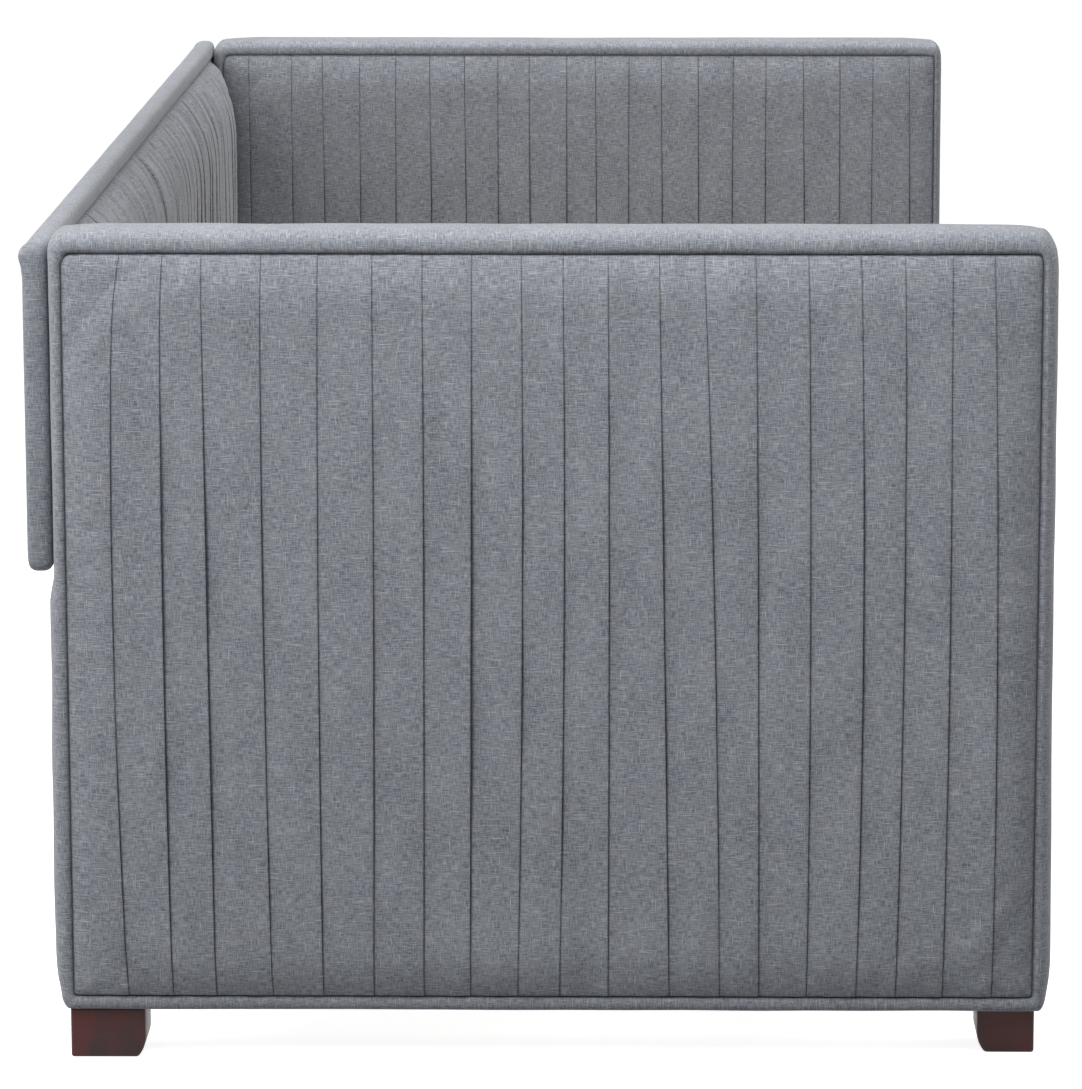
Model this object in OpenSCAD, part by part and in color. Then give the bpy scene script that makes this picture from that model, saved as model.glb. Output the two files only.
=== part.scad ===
// Twin daybed: two upholstered end arms, an upholstered back bolted behind them,
// and a slatted base between them that holds a mattress.
// X runs along the bed, Y from the open front (-Y) to the back (+Y), and Z is up.
// The origin is on the floor, under the middle of the overall footprint.
// All lengths are in millimetres.

/* [Overall] */
// Length over the outer faces of both arms
bed_length = 2150; // [2000:10:2300]
// Height of the arms above the floor
bed_height = 904; // [840:2:980]
// Depth of an arm, from its front roll to its rear roll
arm_depth = 1070; // [990:10:1150]

/* [Arm upholstery] */
// Thickness of an arm between the seam lines of its two faces
border_width = 84; // [80:1:96]
// Rise of a pleated face beyond its seam line
face_crown = 13; // [8:1:18]
// Distance over which a pleated face rises from its seam
face_run = 60; // [40:5:90]
// Padding roll on the top edge, seen from the seam line out
top_roll = 26.5; // [22:0.5:32]
// Padding roll on the front edge
front_roll = 19; // [17:0.5:24]
// Padding roll on the rear edge
rear_roll = 16; // [14:0.5:20]
// Padding roll on the bottom edge
bottom_roll = 14; // [10:0.5:18]
// Corner radius of the arm's outline at its top front
top_front_radius = 27; // [20:1:32]
// Corner radius of the arm's outline at its top rear
top_rear_radius = 18; // [14:1:24]
// Corner radius of the arm's outline at the bottom
bottom_radius = 14; // [10:1:16]
// Corner radius of the seam line round a pleated face
seam_radius = 7; // [4:1:12]

/* [Pleats] */
// Pleats across one arm face
arm_pleats = 20; // [16:1:24]
// Pleats across the back
back_pleats = 40; // [32:1:48]
// Height of each pleat's folded edge
pleat_step = 4; // [2:0.5:6]

/* [Arm frame] */
// Thickness of the boards in an arm's frame
arm_frame_thickness = 60; // [52:1:64]
// Thickness of the ply sheet on each side of an arm's frame
arm_ply = 5; // [3:0.5:6]
// Width of the front and rear stiles
stile_width = 90; // [80:5:120]
// Width of the centre stile
centre_stile_width = 110; // [100:5:140]
// Height of the top and bottom rails
arm_rail_height = 70; // [50:5:100]
// Padding between the frame and the top of the arm
frame_top_inset = 18; // [17:0.5:22]
// Padding between the frame and the front of the arm
frame_front_inset = 15; // [14.5:0.5:18]
// Fabric and felt under the frame
frame_bottom_inset = 3; // [2.5:0.5:6]

/* [Feet] */
// Height of the block feet
foot_height = 56; // [40:1:80]
// Size of every foot along the bed
foot_x = 62; // [54:1:70]
// Size of a rear foot from front to back
rear_foot_y = 81; // [66:1:95]
// Size of a front foot from front to back
front_foot_y = 62; // [54:1:80]
// Distance of a rear foot in from the rear of the arm
rear_foot_inset = 12; // [6:1:24]
// Distance of a front foot in from the front of the arm
front_foot_inset = 14; // [6:1:24]
// Distance of a rear foot in from the outer face of the arm
rear_foot_setback = 17; // [15:1:24]
// Distance of a front foot in from the outer face of the arm
front_foot_setback = 42; // [36:1:46]
// Distance of the feet's bolts from the middle of the arm, towards the bed
foot_bolt_offset = 15; // [10:1:18]
// Width taken off the inner bottom edges of a foot by their curve
foot_curve_width = 9; // [5:1:14]
// Height of that curve
foot_curve_height = 23; // [12:1:30]

/* [Back] */
// Height of the back's bottom edge above the floor
back_bottom = 535; // [480:1:600]
// Distance of the back's top edge below the top of the arms
back_drop = 17; // [8:1:40]
// Distance that the back stands out behind the arms
back_proud = 28; // [28:1:34]
// Distance of each end of the back from the end of the bed
back_end_inset = 35; // [30:1:38]
// Padding round the edges of the back
back_edge = 12; // [10:1:16]
// Corner radius of the back's outline
back_radius = 15; // [10:1:20]
// Rounding of the back's long edges
back_edge_round = 7; // [4:1:10]
// Thickness of the boards in the back's frame
back_frame_thickness = 18; // [16:1:18]
// Thickness of the ply sheet on the front of the back's frame
back_ply = 3; // [3:0.5:4]
// Thickness of the covering on the rear of the back
rear_cover_thickness = 2.5; // [1.5:0.5:4]
// Rise of the back's pleated pad between the arms
back_crown = 49; // [30:1:60]
// Gap between that pad and the inner face of each arm
back_pad_gap = 3; // [1:1:6]
// Distance over which the pad rises from its top seam
back_top_run = 150; // [100:5:180]
// Distance over which the pad rises from its bottom seam and its ends
back_side_run = 70; // [50:5:100]
// Height of the long rails in the back's frame
back_rail_height = 65; // [50:5:80]
// Width of the end stiles in the back's frame
back_stile_width = 100; // [90:5:120]
// Width of the two stiles between them
back_mid_stile_width = 65; // [50:5:90]

/* [Base rails] */
// Height of the rails' lower edge above the floor
rail_bottom = 200; // [160:5:240]
// Height of a rail board
rail_height = 160; // [140:5:200]
// Thickness of a rail board
rail_thickness = 25; // [22:1:30]
// Distance of a covered rail in from the front or rear of the arm
rail_setback = 21; // [20:1:30]
// Padding on the outer side of a rail
rail_padding = 7; // [4:1:10]
// Fabric and felt on the top and bottom edges of a rail
rail_wrap = 3; // [2:0.5:4]
// Length of fabric stapled behind a rail at its top and bottom
rail_tuck = 14; // [10:1:15]
// Thickness of that stapled fabric
tuck_thickness = 2; // [1:0.5:3]
// Height of the slats' underside above a rail's lower edge
slat_seat = 145; // [140:1:145]
// Depth of a ledger from front to back
ledger_depth = 30; // [24:1:40]
// Height of a ledger
ledger_height = 40; // [34:1:48]
// Gap between a ledger's end and the bracket beside it
ledger_end_gap = 4; // [2:1:10]

/* [Slats] */
// Number of slats
slat_count = 12; // [12:1:12]
// Width of a slat
slat_width = 80; // [60:1:90]
// Thickness of a slat
slat_thickness = 18; // [15:1:22]
// Gap at each end of a slat
slat_end_gap = 1; // [1:1:4]
// Width of the straps that space the slats, stapled under them
strap_width = 25; // [20:1:40]
// Thickness of those straps
strap_thickness = 1.2; // [1:0.1:2]
// Distance of each strap from the middle of the base
strap_offset = 310; // [200:10:400]

/* [Centre support] */
// Width of the centre rail
centre_rail_width = 45; // [40:1:60]
// Height of the centre rail
centre_rail_height = 60; // [56:1:80]
// Distance of each centre leg from the middle of the bed
leg_offset = 450; // [350:5:550]
// Diameter of a centre leg
leg_diameter = 42; // [38:1:45]
// Diameter of the glide under a centre leg
glide_diameter = 36; // [28:1:38]
// Height of that glide
glide_height = 8; // [5:1:12]
// Diameter of the spigot that holds the glide in its leg
spigot_diameter = 9; // [6:1:12]
// Length of that spigot
spigot_length = 16; // [10:1:24]

/* [Hardware] */
// Diameter of the bolts
bolt_diameter = 8; // [8:1:8]
// Radial clearance round a bolt in wood and ply
bolt_hole_clearance = 0.5; // [0.3:0.1:1]
// Radial clearance between a bolt and its threaded insert
thread_clearance = 0.1; // [0.05:0.05:0.2]
// Outer diameter of a threaded insert
insert_diameter = 12; // [11:1:14]
// Length of a threaded insert
insert_length = 25; // [20:1:28]
// Length of a bolt's thread inside its insert
thread_engagement = 20; // [12:1:20]
// Diameter of a bolt's head
head_diameter = 15; // [13:1:16]
// Height of a bolt's head
head_height = 5; // [4:0.5:5]
// Diameter of the washers behind the back's bolts
washer_diameter = 24; // [20:1:25]
// Thickness of those washers
washer_thickness = 1.6; // [1:0.2:2]
// Diameter of the recess for a washer and bolt head
recess_diameter = 28; // [26:1:30]
// Depth of that recess in the back's frame
recess_depth = 7; // [7:0.5:9]
// Distance of the back's upper and lower bolts from its edges
back_bolt_inset = 75; // [50:5:100]
// Timber left between that recess and the end of the back's frame
back_bolt_margin = 9; // [6:1:12]
// Thickness of the steel in a bracket
bracket_thickness = 4; // [3:0.5:5]
// Length of a bracket's leg on the arm
bracket_arm_leg = 50; // [44:1:56]
// Length of a bracket's leg on the rail
bracket_rail_leg = 55; // [50:1:60]
// Height of a rail bracket
bracket_height = 90; // [80:1:98]
// Height of a centre rail bracket
centre_bracket_height = 52; // [46:1:54]
// Distance of a bracket's bolts from its corner
bracket_bolt_offset = 28; // [26:1:32]
// Distance of a bracket's holes from its top and bottom ends
bracket_hole_inset = 14; // [12:1:16]
// Diameter of the wood screws
screw_diameter = 5; // [4:0.5:5]
// Diameter of a wood screw's head
screw_head = 9.5; // [8:0.5:10]
// Height of a wood screw's head
screw_head_height = 3; // [2:0.5:3]
// Depth of a bracket screw in its rail
screw_depth = 20; // [14:1:20]
// Diameter of the slat screws
slat_screw_diameter = 4; // [3:0.5:4.5]
// Diameter of a slat screw's countersunk head
slat_screw_head = 8; // [7:0.5:9]
// Depth of a slat screw below its slat
slat_screw_depth = 24; // [16:1:30]
// Length of a hanger bolt in a foot or leg
hanger_depth = 32; // [24:1:36]
// Length of a centre leg's hanger bolt in the centre rail
hanger_rise = 30; // [20:1:40]

/* [Clearances] */
// Gap left between two boards of one frame
board_gap = 0.2; // [0.1:0.1:0.4]
// Gap between an upholstered face and a piece let into it
soft_gap = 0.3; // [0.3:0.1:0.8]
// Gap between a rail's end and the ply of an arm
rail_end_gap = 0.5; // [0.3:0.1:1]
// Radial clearance of a screw, insert or spigot in its bore
bore_clearance = 0.05; // [0.02:0.01:0.1]
// Thickness of the dust cover under an arm
dust_cover_thickness = 0.8; // [0.5:0.1:1.5]

/* [Hidden] */
$fn = 64;
LEFT = -1;
RIGHT = 1;
dome_steps = 10; // flats across a padded roll
run_steps = 5; // flats across the run of a pad
crest = 0.5; // amount by which a roll's section stands past the outline that trims it

fabric_colour = [0.55, 0.57, 0.61];
rear_fabric_colour = [0.50, 0.52, 0.56];
pine_colour = [0.82, 0.66, 0.44];
ply_colour = [0.74, 0.58, 0.40];
foot_colour = [0.20, 0.11, 0.09];
steel_colour = [0.70, 0.71, 0.73];
dust_colour = [0.10, 0.10, 0.11];
strap_colour = [0.86, 0.84, 0.78];
nylon_colour = [0.88, 0.87, 0.83];

// Arms
arm_front = -(arm_depth + back_proud) / 2;
arm_rear = arm_front + arm_depth;
arm_middle = (arm_front + arm_rear) / 2;
arm_low = foot_height;
arm_centre = bed_length / 2 - face_crown - border_width / 2;
seam_y = [arm_front + front_roll, arm_rear - rear_roll];
seam_z = [arm_low + bottom_roll, bed_height - top_roll];
frame_y = [arm_front + frame_front_inset, arm_rear - rear_roll];
frame_z = [arm_low + frame_bottom_inset, bed_height - frame_top_inset];
half_frame = arm_frame_thickness / 2;
half_core = half_frame + arm_ply;
face_edge = border_width / 2 - half_core;
inner_ply = arm_centre - half_core;
inner_crown = arm_centre - border_width / 2 - face_crown;
arm_rail_span = [frame_y[0] + stile_width + board_gap, frame_y[1] - stile_width - board_gap];
arm_post_span = [frame_z[0] + arm_rail_height + board_gap, frame_z[1] - arm_rail_height - board_gap];

// Feet
foot_bolt_x = arm_centre - foot_bolt_offset;
rear_foot_span = [arm_rear - rear_foot_inset - rear_foot_y, arm_rear - rear_foot_inset];
front_foot_span = [arm_front + front_foot_inset, arm_front + front_foot_inset + front_foot_y];
foot_bolt_y = [for (span = [front_foot_span, rear_foot_span]) (span[0] + span[1]) / 2];

// Back
back_rear = arm_rear + back_proud;
back_face = arm_rear;
back_top = bed_height - back_drop;
back_half = bed_length / 2 - back_end_inset;
back_core_x = back_half - back_edge;
back_core_z = [back_bottom + back_edge, back_top - back_edge];
back_frame_rear = back_rear - rear_cover_thickness;
back_frame_front = back_frame_rear - back_frame_thickness;
back_ply_front = back_frame_front - back_ply;
back_bolt_x = back_core_x - back_bolt_margin - recess_diameter / 2;
back_bolt_z = [back_bottom + back_bolt_inset, back_top - back_bolt_inset];
back_mid_x = back_core_x / 3;
back_rail_reach = back_rail_height + board_gap;
back_post_span = [back_core_z[0] + back_rail_reach, back_core_z[1] - back_rail_reach];
recess_floor = back_frame_rear - recess_depth;
back_pad_half = inner_crown - back_pad_gap;

// Base
rail_cover_y = arm_front + rail_setback;
rail_y = [rail_cover_y + rail_padding, rail_cover_y + rail_padding + rail_thickness];
rail_z = [rail_bottom, rail_bottom + rail_height];
rail_half = inner_ply - rail_end_gap;
slat_low = rail_bottom + slat_seat;
ledger_half = rail_half - bracket_rail_leg - ledger_end_gap;
slat_pitch = 2 * ledger_half / slat_count;
slat_half_length = arm_middle - rail_y[1] - slat_end_gap - tuck_thickness;
centre_rail_z = [slat_low - centre_rail_height, slat_low];
bracket_middle = rail_bottom + rail_height / 2;
centre_bracket_middle = (centre_rail_z[0] + centre_rail_z[1]) / 2;
ledger_z = [slat_low - ledger_height, slat_low];
ledger_middle = (ledger_z[0] + ledger_z[1]) / 2;
ledger_seat = rail_y[1] + (ledger_depth + tuck_thickness) / 2;

// Places along a rail at which its ledger is screwed on, between neighbouring slats
ledger_screw_x = [for (i = [1:2:slat_count - 1]) -ledger_half + i * slat_pitch];

// Bores
bolt_radius = bolt_diameter / 2;
bolt_hole = bolt_radius + bolt_hole_clearance;
screw_bore = screw_diameter / 2 + bore_clearance;
bracket_screw_x = inner_ply - bracket_rail_leg + bracket_hole_inset;

// Brackets: side, corner in Y, direction of the arm leg in Y, middle height, height
RAIL_BRACKETS = [for (side = [LEFT, RIGHT], end = [-1, 1])
  [side, arm_middle + end * (arm_middle - rail_y[1]), -end, bracket_middle, bracket_height]];
CENTRE_BRACKETS = [for (side = [LEFT, RIGHT])
  [side, arm_middle + centre_rail_width / 2, 1, centre_bracket_middle, centre_bracket_height]];

function dome_radius(chord, rise) = (chord * chord / 4 + rise * rise) / (2 * rise);
function run_radius(run, rise) = (run * run + rise * rise) / (2 * rise);

// Fall of a pad's surface from its crown, at a share of the run out to its seam
function run_drop(run, rise, share) =
  run_radius(run, rise) - sqrt(pow(run_radius(run, rise), 2) - pow(run * share, 2));
function slat_x(i) = -ledger_half + (i - 0.5) * slat_pitch;

// A box between two limits on each axis
module box(x, y, z)
  translate([x[0], y[0], z[0]]) cube([x[1] - x[0], y[1] - y[0], z[1] - z[0]]);

// Places a flat drawing in the YZ, XZ or XY plane and gives it a thickness
module along_x(x) translate([x[0], 0, 0]) rotate([90, 0, 90]) linear_extrude(x[1] - x[0]) children();
module along_y(y) translate([0, y[1], 0]) rotate([90, 0, 0]) linear_extrude(y[1] - y[0]) children();
module along_z(z) translate([0, 0, z[0]]) linear_extrude(z[1] - z[0]) children();

// Cylinders along each axis, from one place to another
module rod_x(x, y, z, r) translate([x[0], y, z]) rotate([0, 90, 0]) cylinder(r = r, h = x[1] - x[0]);
module rod_y(x, y, z, r) translate([x, y[1], z]) rotate([90, 0, 0]) cylinder(r = r, h = y[1] - y[0]);
module rod_z(x, y, z, r) translate([x, y, z[0]]) cylinder(r = r, h = z[1] - z[0]);

// Mirrored copy about the middle of the arms' depth
module at_rear() translate([0, 2 * arm_middle, 0]) mirror([0, 1, 0]) children();

// A piece drawn for the right side is mirrored to make the left one
module on_side(side) mirror([side == LEFT ? 1 : 0, 0, 0]) children();

// Removes a square corner outside a circle, at a corner that opens towards dir
module corner_cut(corner, dir, r)
  translate(corner) scale([dir[0], dir[1]]) difference() {
    translate([-1, -1]) square([r + 1, r + 1]);
    translate([r, r]) circle(r = r);
  }

// A rectangle with its own radius at each corner: low-low, high-low, high-high, low-high
module soft_rectangle(u, v, radii)
  difference() {
    translate([u[0], v[0]]) square([u[1] - u[0], v[1] - v[0]]);
    corner_cut([u[0], v[0]], [1, 1], radii[0]);
    corner_cut([u[1], v[0]], [-1, 1], radii[1]);
    corner_cut([u[1], v[1]], [-1, -1], radii[2]);
    corner_cut([u[0], v[1]], [1, -1], radii[3]);
  }

// Points across a padded roll in short flats, from one seam line over its crest to the other
function roll_points(width, rise) = [for (i = [0:dome_steps])
  let (r = dome_radius(width, rise), a = asin(width / 2 / r) * (2 * i / dome_steps - 1))
    [r * sin(a), r * cos(a) - r + rise]];

// Section across an arm's border from its bottom to its top
module border_height_section()
  translate([arm_centre, 0]) polygon(concat(
    [for (p = roll_points(border_width, top_roll + crest)) [p[0], seam_z[1] + p[1]]],
    [for (side = [RIGHT, LEFT], i = [0:run_steps])
      let (a = side == RIGHT ? 90 * i / run_steps : 90 - 90 * i / run_steps)
        [side * (border_width / 2 - bottom_roll * (1 - cos(a))), seam_z[0] - (bottom_roll + crest) * sin(a)]]));

// Section across an arm's border from its front to its rear
module border_depth_section()
  translate([arm_centre, 0]) polygon(concat(
    [for (p = roll_points(border_width, rear_roll + crest)) [p[0], seam_y[1] + p[1]]],
    [for (p = roll_points(border_width, front_roll + crest)) [-p[0], seam_y[0] - p[1]]]));

// Outline of a pad in side view: its edge, crown and runs, along v, with height along u
module crown_section(v, edge, crown, low_run, high_run)
  polygon(concat(
    [[0, v[0]]],
    [for (i = [0:run_steps]) [edge + crown - run_drop(low_run, crown, 1 - i / run_steps),
                              v[0] + low_run * i / run_steps]],
    [for (i = [0:run_steps]) [edge + crown - run_drop(high_run, crown, i / run_steps),
                              v[1] - high_run * (1 - i / run_steps)]],
    [[0, v[1]]]));

// Saw-tooth outline of knife pleats: height along u, pleats side by side along v,
// with the folded edge of each one towards low v
module pleat_section(v, full, count) {
  pitch = (v[1] - v[0]) / count;
  teeth = [for (i = [0:count - 1], end = [0, 1])
    [full - end * pleat_step, v[0] + (i + end) * pitch]];
  polygon(concat([[0, v[0]]], teeth, [[0, v[1]]]));
}

// One pleated pad of an arm, with its flat back on X = 0 and its crown towards +X
module arm_pad_form() {
  full = face_edge + face_crown;
  intersection() {
    along_z(seam_z) intersection() {
      pleat_section(seam_y, full, arm_pleats);
      crown_section(seam_y, face_edge, face_crown, face_run, face_run);
    }
    along_y([seam_y[0] - 1, seam_y[1] + 1]) crown_section(seam_z, face_edge, face_crown, face_run, face_run);
    along_x([-1, full + 1]) soft_rectangle(seam_y, seam_z, [seam_radius, seam_radius, seam_radius, seam_radius]);
  }
}

// Threaded inserts, all drawn for the right arm
module insert_bores(r) {
  for (bracket = concat(RAIL_BRACKETS, CENTRE_BRACKETS))
    if (bracket[0] == RIGHT)
      for (z = bracket_holes(bracket))
        rod_x([arm_centre - half_frame, arm_centre - half_frame + insert_length],
              bracket_bolt_y(bracket), z, r);
  for (z = back_bolt_z) rod_y(back_bolt_x, [frame_y[1] - insert_length, frame_y[1]], z, r);
  for (y = foot_bolt_y) rod_z(foot_bolt_x, y, [frame_z[0], frame_z[0] + insert_length], r);
}

function bracket_bolt_y(bracket) = bracket[1] + bracket[2] * bracket_bolt_offset;
function bracket_holes(bracket) = [for (end = [-1, 1])
  bracket[3] + end * (bracket[4] / 2 - bracket_hole_inset)];

module arm_frame()
  color(pine_colour) difference() {
    for (member = [
      [[frame_y[0], frame_y[0] + stile_width], frame_z],
      [[frame_y[1] - stile_width, frame_y[1]], frame_z],
      [arm_rail_span, [frame_z[0], frame_z[0] + arm_rail_height]],
      [arm_rail_span, [frame_z[1] - arm_rail_height, frame_z[1]]],
      [[arm_middle - centre_stile_width / 2, arm_middle + centre_stile_width / 2], arm_post_span]])
      box([arm_centre - half_frame, arm_centre + half_frame], member[0], member[1]);
    insert_bores(insert_diameter / 2 + bore_clearance);
  }

module arm_outer_board()
  color(ply_colour) box([arm_centre + half_frame, arm_centre + half_core], frame_y, frame_z);

module arm_inner_board()
  color(ply_colour) difference() {
    box([arm_centre - half_core, arm_centre - half_frame], frame_y, frame_z);
    for (bracket = concat(RAIL_BRACKETS, CENTRE_BRACKETS))
      if (bracket[0] == RIGHT)
        for (z = bracket_holes(bracket))
          rod_x([arm_centre - half_core - 1, arm_centre - half_frame + 1],
                bracket_bolt_y(bracket), z, bolt_hole);
  }

// The roll of wadding and fabric round an arm's edges
module arm_border()
  color(fabric_colour) difference() {
    intersection() {
      along_x([arm_centre - border_width / 2, arm_centre + border_width / 2]) difference() {
        soft_rectangle([arm_front, arm_rear], [arm_low, bed_height],
                       [bottom_radius, bottom_radius, top_rear_radius, top_front_radius]);
        soft_rectangle(seam_y, seam_z, [seam_radius, seam_radius, seam_radius, seam_radius]);
      }
      along_y([arm_front - 1, arm_rear + 1]) border_height_section();
      along_z([arm_low - 1, bed_height + 1]) border_depth_section();
    }
    box([arm_centre - half_core, arm_centre + half_core], frame_y, frame_z);
    for (z = back_bolt_z) rod_y(back_bolt_x, [frame_y[1] - 1, back_rear], z, bolt_hole);
    for (y = foot_bolt_y) rod_z(foot_bolt_x, y, [arm_low - 1, frame_z[0] + 1], bolt_hole);
  }

module arm_outer_pad()
  color(fabric_colour) translate([arm_centre + half_core, 0, 0]) arm_pad_form();

module arm_inner_pad()
  color(fabric_colour) difference() {
    translate([arm_centre - half_core, 0, 0]) mirror([1, 0, 0]) arm_pad_form();
    rail_pocket();
    at_rear() rail_pocket();
    box([0, inner_ply + 1],
        [arm_middle - centre_rail_width / 2 - soft_gap,
         arm_middle + centre_rail_width / 2 + bracket_arm_leg + soft_gap],
        [centre_rail_z[0] - soft_gap, centre_rail_z[1] + soft_gap]);
  }

// Space let into an inner pad for a covered rail and its bracket
module rail_pocket()
  box([0, inner_ply + 1], [arm_front, rail_y[1] + bracket_arm_leg + soft_gap],
      [rail_z[0] - rail_wrap - soft_gap, rail_z[1] + rail_wrap + soft_gap]);

module arm_dust_cover()
  color(dust_colour)
    box([arm_centre - border_width / 2 + bottom_roll, arm_centre + border_width / 2 - bottom_roll],
        [front_foot_span[1], rear_foot_span[0]], [arm_low - dust_cover_thickness, arm_low]);

module arm_inserts()
  color(steel_colour) difference() {
    insert_bores(insert_diameter / 2);
    insert_cores();
  }

// Threaded holes through the inserts
module insert_cores() {
  r = bolt_radius + thread_clearance;
  for (bracket = concat(RAIL_BRACKETS, CENTRE_BRACKETS))
    if (bracket[0] == RIGHT)
      for (z = bracket_holes(bracket))
        rod_x([arm_centre - half_frame - 1, arm_centre + half_frame], bracket_bolt_y(bracket), z, r);
  for (z = back_bolt_z) rod_y(back_bolt_x, [frame_y[1] - insert_length - 1, frame_y[1] + 1], z, r);
  for (y = foot_bolt_y) rod_z(foot_bolt_x, y, [frame_z[0] - 1, frame_z[0] + insert_length + 1], r);
}

// Side view of a foot from 0 to its width, with the curved bottom edge at 0
module foot_section(width) {
  r = run_radius(foot_curve_height, foot_curve_width);
  intersection() {
    square([width, foot_height]);
    union() {
      translate([0, foot_curve_height]) square([width, foot_height]);
      translate([r, foot_curve_height]) circle(r = r);
      translate([r, 0]) square([width, foot_curve_height]);
    }
  }
}

// A right foot with the curved edges towards the bed and, along Y, towards dir
module foot(outer, y, dir)
  color(foot_colour) difference() {
    intersection() {
      along_y(y) translate([outer - foot_x, 0]) foot_section(foot_x);
      along_x([outer - foot_x, outer])
        translate([dir < 0 ? y[0] : y[1], 0]) mirror([dir < 0 ? 0 : 1, 0]) foot_section(y[1] - y[0]);
    }
    rod_z(foot_bolt_x, (y[0] + y[1]) / 2, [foot_height - hanger_depth, foot_height + 1],
          bolt_radius + bore_clearance);
  }

module rear_foot() foot(bed_length / 2 - rear_foot_setback, rear_foot_span, -1);
module front_foot() foot(bed_length / 2 - front_foot_setback, front_foot_span, 1);

module foot_hanger_bolts()
  color(steel_colour) for (side = [LEFT, RIGHT], y = foot_bolt_y)
    on_side(side) rod_z(foot_bolt_x, y, [foot_height - hanger_depth, frame_z[0] + thread_engagement],
                        bolt_radius);

// Places at which a bolt goes through the back into an arm
module at_back_bolts()
  for (side = [LEFT, RIGHT], z = back_bolt_z) translate([side * back_bolt_x, 0, z]) children();

module back_frame()
  color(pine_colour) difference() {
    for (member = [
      [[-back_core_x, back_core_x], [back_core_z[0], back_core_z[0] + back_rail_height]],
      [[-back_core_x, back_core_x], [back_core_z[1] - back_rail_height, back_core_z[1]]],
      [[-back_core_x, -back_core_x + back_stile_width], back_post_span],
      [[-back_mid_x - back_mid_stile_width / 2, -back_mid_x + back_mid_stile_width / 2], back_post_span],
      [[back_mid_x - back_mid_stile_width / 2, back_mid_x + back_mid_stile_width / 2], back_post_span],
      [[back_core_x - back_stile_width, back_core_x], back_post_span]])
      box(member[0], [back_frame_front, back_frame_rear], member[1]);
    at_back_bolts() {
      rod_y(0, [back_frame_front - 1, back_frame_rear + 1], 0, bolt_hole);
      rod_y(0, [back_frame_rear - recess_depth, back_frame_rear + 1], 0, recess_diameter / 2);
    }
  }

module back_board()
  color(ply_colour) difference() {
    box([-back_core_x, back_core_x], [back_ply_front, back_frame_front], back_core_z);
    at_back_bolts() rod_y(0, [back_ply_front - 1, back_frame_front + 1], 0, bolt_hole);
  }

// The pleated pad of the back: thin behind the arms and full between them
module back_pad() {
  edge = back_ply_front - back_face;
  color(fabric_colour) difference() {
    union() {
      box([-back_core_x, back_core_x], [back_face, back_ply_front], back_core_z);
      translate([0, back_ply_front, 0]) rotate([0, 0, -90]) intersection() {
        along_z(back_core_z) intersection() {
          pleat_section([-back_core_x, back_core_x], edge + back_crown, back_pleats);
          crown_section([-back_pad_half, back_pad_half], edge, back_crown, back_side_run, back_side_run);
        }
        along_y([-back_pad_half, back_pad_half])
          crown_section(back_core_z, edge, back_crown, back_side_run, back_top_run);
      }
    }
    at_back_bolts() rod_y(0, [back_face - 1, back_ply_front + 1], 0, bolt_hole);
  }
}

// The band round the edges of the back
module back_border() {
  r = back_edge_round;
  color(fabric_colour) intersection() {
    along_y([back_face, back_rear]) difference() {
      soft_rectangle([-back_half, back_half], [back_bottom, back_top],
                     [back_radius, back_radius, back_radius, back_radius]);
      translate([-back_core_x, back_core_z[0]])
        square([2 * back_core_x, back_core_z[1] - back_core_z[0]]);
    }
    along_z([back_bottom, back_top])
      soft_rectangle([-back_half, back_half], [back_face, back_rear], [r, r, r, r]);
    along_x([-back_half, back_half])
      soft_rectangle([back_face, back_rear], [back_bottom, back_top], [r, r, r, r]);
  }
}

module back_rear_cover()
  color(rear_fabric_colour) difference() {
    box([-back_core_x, back_core_x], [back_frame_rear, back_rear], back_core_z);
    at_back_bolts() rod_y(0, [back_frame_rear - 1, back_rear + 1], 0, recess_diameter / 2);
  }

module back_washers()
  color(steel_colour) at_back_bolts() difference() {
    rod_y(0, [recess_floor, recess_floor + washer_thickness], 0, washer_diameter / 2);
    rod_y(0, [recess_floor - 1, recess_floor + washer_thickness + 1], 0, bolt_radius + thread_clearance);
  }

module back_bolts()
  color(steel_colour) at_back_bolts() {
    rod_y(0, [recess_floor + washer_thickness, recess_floor + washer_thickness + head_height], 0,
          head_diameter / 2);
    rod_y(0, [frame_y[1] - thread_engagement, recess_floor + washer_thickness], 0, bolt_radius);
  }

module rail_board()
  color(pine_colour) difference() {
    box([-rail_half, rail_half], rail_y, rail_z);
    for (side = [LEFT, RIGHT], z = bracket_holes(RAIL_BRACKETS[0]))
      rod_y(side * bracket_screw_x, [rail_y[1] - screw_depth, rail_y[1] + 1], z, screw_bore);
    for (x = ledger_screw_x)
      rod_y(x, [rail_y[1] - screw_depth, rail_y[1] + 1], ledger_middle, screw_bore);
  }

// The fabric sleeve of a rail: round its outer side and stapled behind it
module rail_cover()
  color(fabric_colour) difference() {
    along_x([-rail_half, rail_half])
      soft_rectangle([rail_cover_y, rail_y[1] + tuck_thickness],
                     [rail_z[0] - rail_wrap, rail_z[1] + rail_wrap],
                     [rail_padding, tuck_thickness, tuck_thickness, rail_padding]);
    box([-rail_half - 1, rail_half + 1], rail_y, rail_z);
    box([-rail_half - 1, rail_half + 1], [rail_y[1] - 1, rail_y[1] + tuck_thickness + 1],
        [rail_z[0] + rail_tuck, rail_z[1] - rail_tuck]);
  }

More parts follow.
